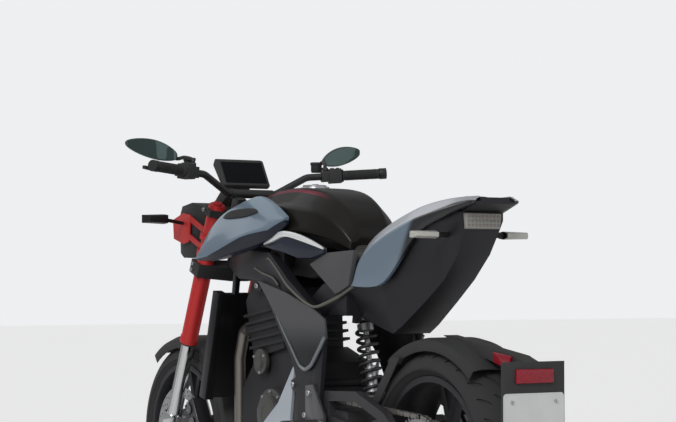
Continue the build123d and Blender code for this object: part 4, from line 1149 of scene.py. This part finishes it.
TAIL = [
    # x, low z of the tail panel
    (-349, 783), (-362, 782), (-381, 781), (-465, 779), (-511, 809), (-592, 898), (-640, 940), (-740, 970),
    (-845, 1002),
]
BED = [
    # x, top z of the tail frame under the seats
    (-310, 800), (-455, 838), (-500, 905), (-600, 952), (-682, 970), (-750, 977), (-784, 979),
]


def strip_height(x):
    """Height of the tail panels' top edge."""
    return 1022 - 130 * ((x + 800) / 433) ** 2


def tail_half(x):
    """Half width of the tail."""
    return 138 - 60 * (-310 - x) / 535


@material
def shroud_paint(tree):
    """Grey-blue above the folded edge and navy below it; the navy is painted shade on the downturned lower facet.
    """
    x, _, z = tree.axes()
    low, span = 840, 160
    # This mask is 1 above the folded edge; below it the navy painted shade stands for the shadow on the lower
    # facet
    light = ((z - low / 1000) / (span / 1000) - tree.along(x, SHROUD, 2, low, span)).step(0.0, 0.012)
    tone = tree.blend(light, "navy", tree.toned(tree.noise(3.0, 2.0), "body", 0.9, 1.1))
    tree.feed(Base_Color=tone, Metallic=light * 0.2, Roughness=0.40 - light * 0.14,
              Coat_Weight=0.15 + light * 0.4, Coat_Roughness=0.07, Specular_IOR_Level=0.35)


@material
def tail_paint(tree):
    """Grey-blue with the pale strip along its top edge, a painted highlight on the upturned top facet, and dark
    plastic under the strip's rear part.
    """
    x, _, z = tree.axes()
    run = (x + (MIDDLE + 0.800)) / 0.433
    top = 1.022 - 0.130 * (run * run)
    rear = (x + z * 0.5 + (MIDDLE + 0.120)).step(-0.018, 0.008)
    taper = (x + (MIDDLE + 0.845)).step(0.0, 0.2)
    # This mask paints the highlight on the upturned top facet along the strip
    pale = (z - top + (0.012 + 0.020 * taper)).step(-0.001, 0.001)
    tone = tree.blend(pale, tree.blend(rear, (0.014, 0.014, 0.016), "body"), "strip")
    tree.feed(Base_Color=tone, Metallic=0.15, Roughness=0.26 + tree.noise(7.0) * 0.08, Coat_Weight=0.5,
              Coat_Roughness=0.08)


@material
def tank_paint(tree):
    """Near-black gloss with a painted reflection, a thin dark red line along each upper edge."""
    x, y, z = tree.axes()
    out = abs(y) - tree.along(x, TANK, 8, 0, 100) * 0.1
    # This mask is a painted reflection: a thin dark red band along each upper edge
    line = out.step(0.003, 0.004) * (1 - out.step(0.013, 0.014)) * x.step(-0.20, -0.10) * z.step(1.0, 1.005)
    cloud = tree.noise(3.0, 2.0)
    tree.feed(Base_Color=tree.blend(line, tree.toned(cloud, "tank", 0.85, 1.15), (0.17, 0.016, 0.036)),
              Roughness=0.34 + cloud * 0.06, Coat_Weight=0.16, Coat_Roughness=0.10, Specular_IOR_Level=0.15)


class MOTORCYCLE_OT_tank(bpy.types.Operator):
    """Tank with its filler ring, hinged cap and the cap's screws"""
    bl_idname = "motorcycle.tank"
    bl_label = "Tank"

    def execute(self, context):
        rings = [ring_at(x, ((0, z0 - 1), (a, z0), (b, z1), (c, z2), (d, z3), (0, z3 + 2)))
                 for x, z0, a, z1, b, z2, c, z3, d in TANK]
        creased = ((1, 0.6), (2, 0.5), (3, 0.75), (4, 0.6), (6, 0.6), (7, 0.75), (8, 0.5), (9, 0.6))
        skin = loft("tank_skin", centred(rings), tank_paint("tank_paint"), creased, 0.7, 3)
        filler = aimed(mm(55, 0, 0))
        self.cut(skin, placed(turned("filler_hole", ((37.5, 1060), (37.5, 1110)), "tank_dark", 64), filler))
        floor = ((37.2, 1062.5), (37.2, 1065.5), (10, 1066))
        rim = ((37.2, 1068), (37.2, 1077.5), (38.2, 1079), (41.2, 1079), (42.4, 1077), (42.4, 1070))
        collar = [placed(turned("filler_part", profile, "cap_metal", 64), filler)
                  for profile in (rim, floor)]
        ears = self.kept(rounded("fuel_tank", 0.3, 1), lambda p: p.z > 1.0735 and p.x > 0.088 - MIDDLE)
        seat_on(joined(collar, "filler_collar"), "chassis", "cap_metal")
        seat_on(skin, "chassis", "tank_dark", "fuel_tank")
        seat_on(ears, "chassis", "cap_metal")
        self.cap(filler)
        return {"FINISHED"}

    def cut(self, obj, cutter):
        change = obj.modifiers.new("cut", "BOOLEAN")
        change.operation, change.solver, change.object = "DIFFERENCE", "EXACT", cutter
        settle(obj)
        bpy.data.objects.remove(cutter)

    def kept(self, obj, test):
        """Keeps only the faces whose middle passes a test."""
        with editing(obj.data) as work:
            gone = [f for f in work.faces if not test(f.calc_center_median())]
            bmesh.ops.delete(work, geom=gone, context="FACES")
        return obj

    def cap(self, filler):
        """The hinged cap with a domed face, a key cover and six screws."""
        rounded("fuel_cap", 0.6, 3)
        top = 1083.3
        dome = ((28.5, top - 0.4), (28.5, top + 0.8), (26.5, top + 1.8), (12, top + 2.2))
        disc = placed(turned("cap_face", dome, "cap_metal", 48), filler)
        flap = turned("cap_key_cover", ((8, top + 1.8), (8, top + 3.6), (6.6, top + 4.6)), "cap_metal", 32)
        placed(flap, filler @ Matrix.Diagonal((1.7, 1, 1, 1)))
        seat_on(joined([disc, flap], "cap_details"), "fuel_cap", "cap_metal")
        places = ring_places(mm(55, 0, top), UP, 0.0315, 6, 0.5 + pi / 2)
        socket_heads("cap_screws", 2.2, 1.4, places, "fuel_cap")


class MOTORCYCLE_OT_panels(bpy.types.Operator):
    """Shrouds, tail panels, side covers and the silver chevrons"""
    bl_idname = "motorcycle.panels"
    bl_label = "Panels"

    UPPER_EDGE = (
        # x, z, y
        (75, 862, 155.6), (58, 862, 156.6), (0, 822, 158.6), (-48, 786, 160.2), (-120, 749, 160.2),
        (-172, 729, 160.2), (-204, 724, 157), (-240, 735, 146), (-276, 751, 132), (-300, 761, 129),
        (-346, 779, 129), (-354, 782, 129),
    )
    LOWER_EDGE = ((165, 838, 146), (105, 822, 155.2), (40, 808, 157.8), (5, 786, 159))
    RIM = (
        (0, 696, 167), (-34, 657, 167), (-74, 615, 167), (-122, 563, 167), (-140, 552, 167),
        (-160, 546, 167), (-180, 552, 167), (-198, 563, 167), (-234, 602, 167), (-268, 641, 167),
    )

    def execute(self, context):
        self.shrouds()
        self.tail()
        rounded("side_covers", 2.25, 3, cover_plastic("cover_paint"))
        self.chevrons()
        # Painted highlights: pale beads along the spar's edges
        edge = coated("spar_edge", (0.160, 0.156, 0.138), 0.4, 0.3)
        self.beads("spar_edges", edge, "frame_black", (self.UPPER_EDGE, 2.8, 5.2),
                   (self.LOWER_EDGE, 2.8, 2.8))
        # Painted highlights: pale beads along the covers' rims
        edge = gloss_paint("cover_edge", (0.185, 0.205, 0.225), 0.3, False, 0.3)
        self.beads("cover_rims", edge, "cover_grey", (self.RIM, 1.8, 6.2))
        return {"FINISHED"}

    def shrouds(self):
        """The shrouds' skins, and a shallow dark recess in each."""
        rings = []
        for x, z0, z1, z2, inner, low, edge, top in SHROUD:
            middle = ((edge + top) / 2 + 5, (z1 + z2) / 2)
            rings.append(ring_at(x, (
                (inner, z0 + 1), (inner, z2 - 1), (top - 6, z2), (top, z2 - 1.5), middle, (edge, z1),
                (low, z0))))
        creased = ((0, 0.9), (1, 0.9), (2, 0.85), (3, 0.7), (5, 0.97), (6, 0.95))
        finish = shroud_paint("shroud_paint")
        skin = pair("shroud_skins", rings, finish, creased=creased, end_crease=0.95, levels=3)
        seat_on(skin, "chassis", "body_blue", "tank_shrouds")
        rings = [ring_at(x, ((y - 9, low), (y - 9, high), (y + 9, high - 4), (y + 9, low + 4)))
                 for x, low, high, y in ((252, 984, 992, 199), (236, 982, 1010, 201), (170, 984, 1016, 196),
                                         (96, 988, 1016, 186), (78, 996, 1004, 182))]
        creased = [(k, 0.8) for k in range(4)]
        recess = pair("shroud_recess", rings, "black_plastic", creased=creased, end_crease=0.6)
        seat_on(recess, "chassis", "black_plastic")

    def tail(self):
        rings = []
        for x, z in TAIL:
            top = {-349: 787, -362: 815}.get(x, strip_height(x))
            out, lip, band = tail_half(x), 14.2 if x > -370 else 30, min(34, (top - z) * 0.6)
            rings.append(ring_at(x, (
                (out - 14, z), (out - 3, z), (out, z + band * 0.2), (out, top - band),
                (out - 0.8 * lip, top), (out - lip, top - 1), (out - lip, top - band * 0.2),
                (out - 14, top - band * 0.7))))
        creased = ((0, 0.9), (1, 0.9), (3, 0.95), (4, 0.9), (5, 0.9), (6, 0.9), (7, 0.9))
        finish = tail_paint("tail_paint")
        skin = pair("tail_skins", rings, finish, creased=creased, end_crease=0.95, levels=3)
        seat_on(skin, "chassis", "body_blue", "side_panels")

    def chevrons(self):
        """Silver trim along the tank's low edge."""
        rings = [ring_at(x, ((y - 4, z0), (y + 3, z0 + 1), (y + 4, (z0 + z1) / 2), (y + 2, z1), (y - 4, z1)))
                 for x, z0, z1, y in (
                     (82, 904, 916, 160), (76, 906, 924, 162), (30, 912, 932, 163), (-22, 928, 946, 164),
                     (-60, 926, 942, 163), (-100, 918, 937, 161), (-170, 902, 917, 156),
                     (-222, 889, 896, 151), (-228, 887, 891, 150))]
        finish = gloss_paint("chevron_silver", (0.86, 0.87, 0.88), 0.25, False, 0.15)
        creased = ((0, 1), (1, 0.6), (3, 0.6), (4, 1))
        trim = pair("tank_chevrons", rings, finish, creased=creased, end_crease=1.0)
        seat_on(trim, "chassis", "pan_silver")

    def beads(self, name, finish, slot, *lines):
        """Pale lines that paint highlights along edges on both sides, along (points, first radius, last radius) in
        millimetres.
        """
        parts = []
        for points, thin, thick in lines:
            for side in SIDES:
                line = eased([mm(x, side * y, z) for x, z, y in points])
                count = len(line) - 1
                radii = [(thin + (thick - thin) * min(1, k / count * 1.6)) / 1000 for k in range(count + 1)]
                parts.append(sweep(name + "_part", line, radii, finish))
        seat_on(joined(parts, name), "chassis", slot)


class MOTORCYCLE_OT_seats(bpy.types.Operator):
    """Two padded seats, blown up as cloth, with sewn seams and stitches"""
    bl_idname = "motorcycle.seats"
    bl_label = "Seats"

    def execute(self, context):
        rider = ((-272, 906), (-290, 899), (-310, 892), (-345, 885), (-380, 882), (-430, 886), (-462, 902))
        pillion = [(-464, 914), (-488, 958), (-500, 968)]
        pillion += [(x, strip_height(x) + 4) for x in (-540, -600, -640, -682, -716, -750, -768)]
        self.pad("rider_pad", "seat_rider", rider, (-330, -375, -420), 0.0022)
        self.pad("pillion_pad", "seat_pillion", pillion, (-560, -610, -660), 0.0018)
        return {"FINISHED"}

    def rings(self, columns):
        """A pad's sections on its bed, from the (x, top z) of its middle line."""
        rings = []
        for x, top in columns:
            half = min(tail_half(x), 138) - 31
            if x > -310:
                half = 78 + (half - 78) * (-272 - x) / 38
            base = between(BED, min(x, -310))[0] + 0.5
            top = max(top, base + 8)
            rings.append(ring_at(x, (
                (0, base), (half - 4, base), (half - 2, base + (top - base) * 0.35), (half - 3, top - 15),
                (half - 14, top - 5), (half - 30, top - 3), (0, top - 4))))
        return centred(rings)

    def pad(self, name, node, columns, seams, cap):
        pad = loft(name, self.rings(columns), "seat_vinyl", ((1, 0.9), (11, 0.9)), 0.6, 1)
        self.inflate(pad, cap)
        subdivided(pad, 1, 60.0)
        self.sew(pad, [x / 1000 - MIDDLE for x in seams])
        seat_on(pad, "chassis", "seat_vinyl", node)

    def inflate(self, pad, cap):
        """Blows the pad up as cloth, by no more than the cap."""
        grid, last = pad.modifiers.new("grid", "REMESH"), 20
        grid.mode, grid.voxel_size = "VOXEL", 0.0055
        settle(pad, 60.0)
        start = [v.co.copy() for v in pad.data.vertices]
        cloth = pad.modifiers.new("cloth", "CLOTH")
        cloth.settings.use_pressure = True
        cloth.settings.uniform_pressure_force = 4.0
        cloth.settings.effector_weights.gravity = 0.0
        cloth.point_cache.frame_start, cloth.point_cache.frame_end = 1, last
        for number in range(1, last + 1):
            bpy.context.scene.frame_set(number)
        settle(pad, 60.0)
        bpy.context.scene.frame_set(1)
        for vertex, was in zip(pad.data.vertices, start):
            move = vertex.co - was
            if was.z > 0 and move.length > cap:
                vertex.co = was + move.normalized() * cap

    def sew(self, pad, seams):
        """Presses each seam into the pad and lays stitches beside it."""
        wide, deep = 0.009, 0.0024

        def bowed(x, y):
            return x + 0.018 * (y / 0.1) ** 2

        with editing(pad.data) as work:
            for vertex in (v for v in work.verts if v.normal.z >= 0.25):
                for x in seams:
                    away = abs(vertex.co.x - bowed(x, vertex.co.y))
                    if away < wide:
                        vertex.co.z -= deep * (1 - (away / wide) ** 2)
        pad.data.update()
        places = []
        for x in seams:
            for shift in (-0.0085, 0.0085):
                y = -0.085
                while y <= 0.085:
                    hit, point, normal, _ = pad.ray_cast(Vector((bowed(x + shift, y), y, 1.3)), -UP)
                    if hit and normal.z > 0.3:
                        places.append((point + normal * 0.0002, facing(normal, (0.36 * y, 1, 0))))
                    y += sizes().stitch
        thread = ribbed_rubber("seat_thread")
        row_of(pad.name + "_stitches", self.stitch(thread), places, "chassis", "seat_vinyl", finish=thread,
               angle=80.0)

    def stitch(self, finish):
        """A short thread, low at both ends, along its own Y."""
        run, wide, count = sizes().stitch * 0.38, 0.0005, 5
        verts = []
        for share in (k / (count - 1) for k in range(count)):
            y, z = -run + 2 * run * share, 0.0006 * sin(pi * share) - 0.0002
            verts += [(wide * c, y, z + wide * s) for c, s in circle(6)]
        return make("stitch", verts, ring_faces(count, 6), finish)


# Engine, exhaust and chain


def chain_pins():
    """Places of the chain's pins round both sprockets, with X as the real part and Z as the other."""
    pitch, rear, front = 15.875, -650 + 315j, -65 + 430j
    rear_step, front_step = 2 * pi / 48, 2 * pi / 16
    big, small = (pitch / 2 / sin(step / 2) for step in (rear_step, front_step))
    tilt, lean = phase(front - rear), asin((big - small) / abs(front - rear))
    top, bottom = tilt + pi / 2 - lean, tilt - pi / 2 + lean
    rear_count, front_count = int((2 * pi - (top - bottom)) / rear_step), int((top - bottom) / front_step)
    start = (top + bottom) / 2 - front_count * front_step / 2
    held = [rear + rect(big, top + k * rear_step) for k in range(rear_count + 1)]
    led = [front + rect(small, start + k * front_step) for k in range(front_count + 1)]

    def run(a, b):
        count = round(abs(b - a) / pitch)
        return [a + (b - a) * k / count for k in range(1, count)]

    return held + run(held[-1], led[0]) + led + run(led[-1], held[0])


class MOTORCYCLE_OT_chain(bpy.types.Operator):
    """Roller chain with side plates, rollers and riveted pins"""
    bl_idname = "motorcycle.chain"
    bl_label = "Chain"

    def execute(self, context):
        pins = [mm(p.real, 108, p.imag) for p in chain_pins()]
        links = list(zip(pins, pins[1:] + pins[:1]))
        for first, name, near, far in ((0, "inner", 0.0046, 0.0066), (1, "outer", 0.0070, 0.0090)):
            places = [((a + b) / 2, lengthwise((b - a).normalized())) for a, b in links[first::2]]
            row_of(f"chain_{name}_plates", self.plates(near, far), places, "chassis", "chain_steel")
        places = [(p, facing(LEFT)) for p in pins]
        roller = turned("roller", ((5, -4.6), (5, 4.6)), "chain_steel", 12)
        row_of("chain_rollers", roller, places, "chassis", "chain_steel", "chain")
        rivet = turned("rivet", ((2.5, -9.4), (2.5, 9.4)), "chain_steel", 8)
        row_of("chain_rivets", rivet, places, "chassis", "chain_steel")
        return {"FINISHED"}

    def plates(self, near, far):
        """Both side plates of a link, waisted between its ends."""
        half, end, waist = 0.0079, 0.0068, 0.0050
        outline, verts, faces = [], [], []
        for side in (1, -1):
            for a in (radians(-80 + 160 * k / 6) + (0 if side == 1 else pi) for k in range(7)):
                outline.append((side * half + end * cos(a), end * sin(a)))
            outline.append((0, side * waist))
        for side in SIDES:
            start = len(verts)
            verts += [(x, side * y, z) for y in (near, far) for x, z in outline]
            faces += [tuple(start + k for k in face) for face in ring_faces(2, len(outline))]
        return merged(make("side_plates", verts, faces, "chain_steel"), 1e-7)


class MOTORCYCLE_OT_engine(bpy.types.Operator):
    """Engine castings with covers, screws, fins and the radiator's core"""
    bl_idname = "motorcycle.engine"
    bl_label = "Engine"

    def execute(self, context):
        all_rounded(
            ("engine_case", 2.5, 3), ("engine_top", 0.8, 2), ("engine_covers", 2, 3), ("air_box", 2.5, 3),
            ("radiator", 1, 2),
        )
        self.covers()
        self.core()
        return {"FINISHED"}

    def covers(self):
        """Screws round the covers, and stepped discs on three of them."""
        screws, discs = [], []
        for x, z, radius, count, face, side, phase in (
            (110, 400, 70, 9, 122, 1, 0.2), (183, 556, 33, 3, 118, 1, 0.6), (60, 400, 84, 10, 136, -1, 0.1),
            (215, 380, 43, 5, 132, -1, 0.4),
        ):
            screws += ring_places(mm(x, side * face, z), (0, side, 0), radius / 1000, count, phase)
        socket_heads("cover_screws", 4.8, 4.2, screws)
        for x, z, face, side, profile in (
            (110, 400, 134, 1, ((56, 0), (56, 2.5), (50, 4), (30, 4), (28, 2.5), (10, 2.5))),
            (183, 556, 122, 1, ((20, 0), (20, 1.5), (17, 3), (12, 3), (11, 1.5), (4, 1.5))),
            (60, 400, 136, -1, ((70, 0), (70, 2), (62, 4), (40, 4), (38, 2.6), (12, 2.6))),
        ):
            disc = turned("cover_disc", profile, "cover_metal", 64)
            discs.append(placed(disc, aimed(mm(x, side * face, z), (0, side, 0))))
        seat_on(joined(discs, "cover_discs"), "chassis", "cover_metal")

    def core(self):
        """Close fins in the windows of the radiator's core, front and back."""
        ahead = Vector((cos(radians(15)), 0, sin(radians(15))))
        up = ahead.cross(LEFT)
        corners = ((-0.0128, -0.129), (0.0075, -0.129), (0.0075, 0.129), (-0.0128, 0.129))
        fin = make("fin", [(x, y, z) for z in (-0.0003, 0.0003) for x, y in corners], ring_faces(2, 4),
                   "radiator_metal")
        places = [(mm(405, 0, 600) + up * (0.028 * (window - 5) + 0.0022 * k), lengthwise(ahead))
                  for window in range(11) for k in range(-3, 4)]
        row_of("radiator_fins", fin, places, "chassis", "radiator_metal")


class MOTORCYCLE_OT_running_gear(bpy.types.Operator):
    """Swingarm, shock spring, frame, exhaust, stands and pegs"""
    bl_idname = "motorcycle.running_gear"
    bl_label = "Running gear"

    FRAME_BOLTS = (
        # x, y, z
        (-150, 160.2, 415), (-84, 160.2, 500), (182, 126, 784), (-125, 141, 712), (-185, 169.3, 480),
        (-250, 169.3, 395), (-190, 169.3, 392),
    )

    def execute(self, context):
        all_rounded(
            ("swingarm", 2, 3), ("frame_spars", 2, 3), ("tail_frame", 2, 3), ("exhaust_headers", 1, 2),
            ("muffler", 4, 4), ("belly_pan", 1.5, 3), ("rear_mudguard", 0.6, 2), ("rear_caliper", 1.5, 3),
            ("footrests", 1, 2), ("side_stand", 1.25, 2), ("centre_stand", 1.25, 2),
        )
        self.spring()
        socket_heads("frame_bolts", 8.5, 6, both_sides(self.FRAME_BOLTS))
        nuts = [(Vector((REAR_AXLE.x, side * 0.1452, REAR_AXLE.z)), facing((0, side, 0))) for side in SIDES]
        nut = turned("axle_nut", ((19, 0), (19, 2), (16.5, 3), (16.5, 7), (15, 7.8)), "axle_steel", 30)
        row_of("rear_axle_nuts", nut, nuts, "chassis", "axle_steel")
        rib = turned("peg_rib", ((11, -2), (13.6, -1.4), (13.6, 1.4), (11, 2)), "grip_rubber", 24)
        places = both_sides([(-240, 182 + 6 * k, 395) for k in range(13)])
        row_of("peg_ribs", rib, places, "chassis", "grip_rubber")
        self.silencer()
        return {"FINISHED"}

    def spring(self):
        """The shock's damper, eyes and coil, from the swingarm's lug to the frame's."""
        low, high = mm(-262, 0, 466), mm(-215, 0, 690)
        shock, run = aimed(low, high - low), (high - low).length
        top = run * 1000
        damper = turned("damper", (
            (13, 10), (24, 14), (24, 22), (16, 26), (16, 90), (8, 94), (8, top - 40), (24, top - 36),
            (24, top - 16), (14, top - 12)), "axle_steel", 32)
        eye = ((6, -26), (13, -26), (13, 26), (6, 26))
        eyes = [placed(turned("shock_eye", eye, "alloy", 32), aimed(end, LEFT)) for end in (low, high)]
        seat_on(placed(damper, shock), "chassis", "axle_steel", "rear_shock")
        seat_on(joined(eyes, "shock_eyes"), "chassis", "alloy")
        coils, steps, line = 7, 20, []
        for share in (k / (coils * steps) for k in range(coils * steps + 1)):
            a = 2 * pi * coils * share
            line.append(shock @ Vector((0.0275 * cos(a), 0.0275 * sin(a), 0.024 + (run - 0.062) * share)))
        seat_on(sweep("shock_coil", line, [0.0052] * len(line), "shock_spring"), "chassis", "shock_spring")

    def silencer(self):
        """The muffler's outlet and a clamp on its inlet."""
        profile = ((15, -4), (23.5, -4), (23.5, 10), (22.2, 11.5), (20.5, 11.5), (20.5, 0), (15, -3))
        outlet = turned("outlet", profile, "fork_chrome", 40)
        seat_on(placed(outlet, aimed(mm(-401.5, -224, 312), (-1, 0, 0.08))), "chassis", "muffler_metal")
        clamp = turned("clamp", ((22.5, -9), (24.5, -9), (24.5, 9), (22.5, 9)), "axle_steel", 40)
        seat_on(placed(clamp, aimed(mm(-50, -224, 240), BACK)), "chassis", "axle_steel")


# Floor, light and camera


class MOTORCYCLE_OT_stage(bpy.types.Operator):
    """Pale floor, soft lamps and the camera"""
    bl_idname = "motorcycle.stage"
    bl_label = "Stage"

    LAMPS = (
        # name, place, spread in degrees, strength
        ("key", (-2.6, 3.4, 3.6), 24.0, 1.35), ("fill", (-3.8, -2.6, 2.4), 60.0, 0.28),
        ("front", (3.6, 1.6, 3.0), 40.0, 0.34), ("top", (0.0, 0.2, 4.4), 80.0, 0.34),
    )
    AIM = Vector((0, 0, 0.6))
    CAMERA_PLACE, CAMERA_TURN, CAMERA_TILT, CAMERA_LENS = (-5.2135, 3.226, 0.793), 32.3, 2.0, 109.4

    def execute(self, context):
        side = 30.0
        corners = [(-side, -side, 0), (side, -side, 0), (side, side, 0), (-side, side, 0)]
        make("floor", corners, [(0, 1, 2, 3)], floor_finish("floor"))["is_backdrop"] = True
        for name, place, spread, strength in self.LAMPS:
            light = bpy.data.lights.new(name, "SUN")
            light.angle, light.energy = radians(spread), strength
            self.set_up(linked(name, light), place, self.AIM - Vector(place))
        self.world()
        self.camera()
        return {"FINISHED"}

    def set_up(self, obj, place, forward):
        """Puts a lamp or the camera at a place, looking forward."""
        obj.location = place
        obj.rotation_mode = "QUATERNION"
        obj.rotation_quaternion = (-forward).to_track_quat("Z", "Y")

    def world(self):
        """Pale round the object for the camera and through glass, dimmer in gloss and as light."""
        world = bpy.data.worlds.new("studio")
        bpy.context.scene.world = world
        world.use_nodes = True
        world.node_tree.nodes.clear()
        tree = Tree(world.node_tree)
        path = tree.node("ShaderNodeLightPath")
        seen = path.math("MAXIMUM", path, path.of("Is Glossy Ray") * 0.12)
        seen = path.math("MAXIMUM", seen, path.of("Is Transmission Ray"))
        sockets = {"Color": (0.93, 0.94, 0.96, 1), "Strength": 0.21 + seen * 0.71}
        glow = tree.node("ShaderNodeBackground", {}, sockets)
        tree.node("ShaderNodeOutputWorld", {}, {"Surface": glow})

    def camera(self):
        data = bpy.data.cameras.new("camera")
        data.sensor_width, data.lens = 36.0, self.CAMERA_LENS
        data.clip_start, data.clip_end = 0.1, 100.0
        camera = linked("camera", data)
        turn, tilt = radians(self.CAMERA_TURN), radians(self.CAMERA_TILT)
        forward = Vector((cos(turn) * cos(tilt), -sin(turn) * cos(tilt), sin(tilt)))
        self.set_up(camera, self.CAMERA_PLACE, forward)
        bpy.context.scene.camera = camera


class MOTORCYCLE_PT_panel(bpy.types.Panel):
    """The motorcycle's pieces, colours and sizes"""
    bl_idname = "MOTORCYCLE_PT_panel"
    bl_label = "Motorcycle"
    bl_space_type = "VIEW_3D"
    bl_region_type = "UI"
    bl_category = "Motorcycle"

    def draw(self, context):
        for operator in OPERATORS:
            self.layout.operator(operator.bl_idname)
        for group in (paint(), sizes()):
            for name in group.bl_rna.properties.keys():
                if name not in ("rna_type", "name"):
                    self.layout.prop(group, name)


OPERATORS = (
    MOTORCYCLE_OT_wheels, MOTORCYCLE_OT_tyres, MOTORCYCLE_OT_fork, MOTORCYCLE_OT_bar, MOTORCYCLE_OT_lamps,
    MOTORCYCLE_OT_tank, MOTORCYCLE_OT_panels, MOTORCYCLE_OT_seats, MOTORCYCLE_OT_chain, MOTORCYCLE_OT_engine,
    MOTORCYCLE_OT_running_gear, MOTORCYCLE_OT_stage,
)
CLASSES = (MotorcyclePaint, MotorcycleSizes, *OPERATORS, MOTORCYCLE_PT_panel)


def register():
    for item in CLASSES:
        bpy.utils.register_class(item)
    bpy.types.Scene.motorcycle_paint = PointerProperty(type=MotorcyclePaint)
    bpy.types.Scene.motorcycle_sizes = PointerProperty(type=MotorcycleSizes)


def unregister():
    del bpy.types.Scene.motorcycle_paint
    del bpy.types.Scene.motorcycle_sizes
    for item in reversed(CLASSES):
        bpy.utils.unregister_class(item)


def main():
    register()
    bpy.context.scene.view_settings.view_transform = "Standard"
    for operator in OPERATORS:
        getattr(bpy.ops.motorcycle, operator.bl_idname.split(".")[1])()
    corners = {"cad": CAD_BOX, "visual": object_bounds()}
    {name: [list(corner) for corner in box] for name, box in corners.items()}


if __name__ == "__main__":
    main()
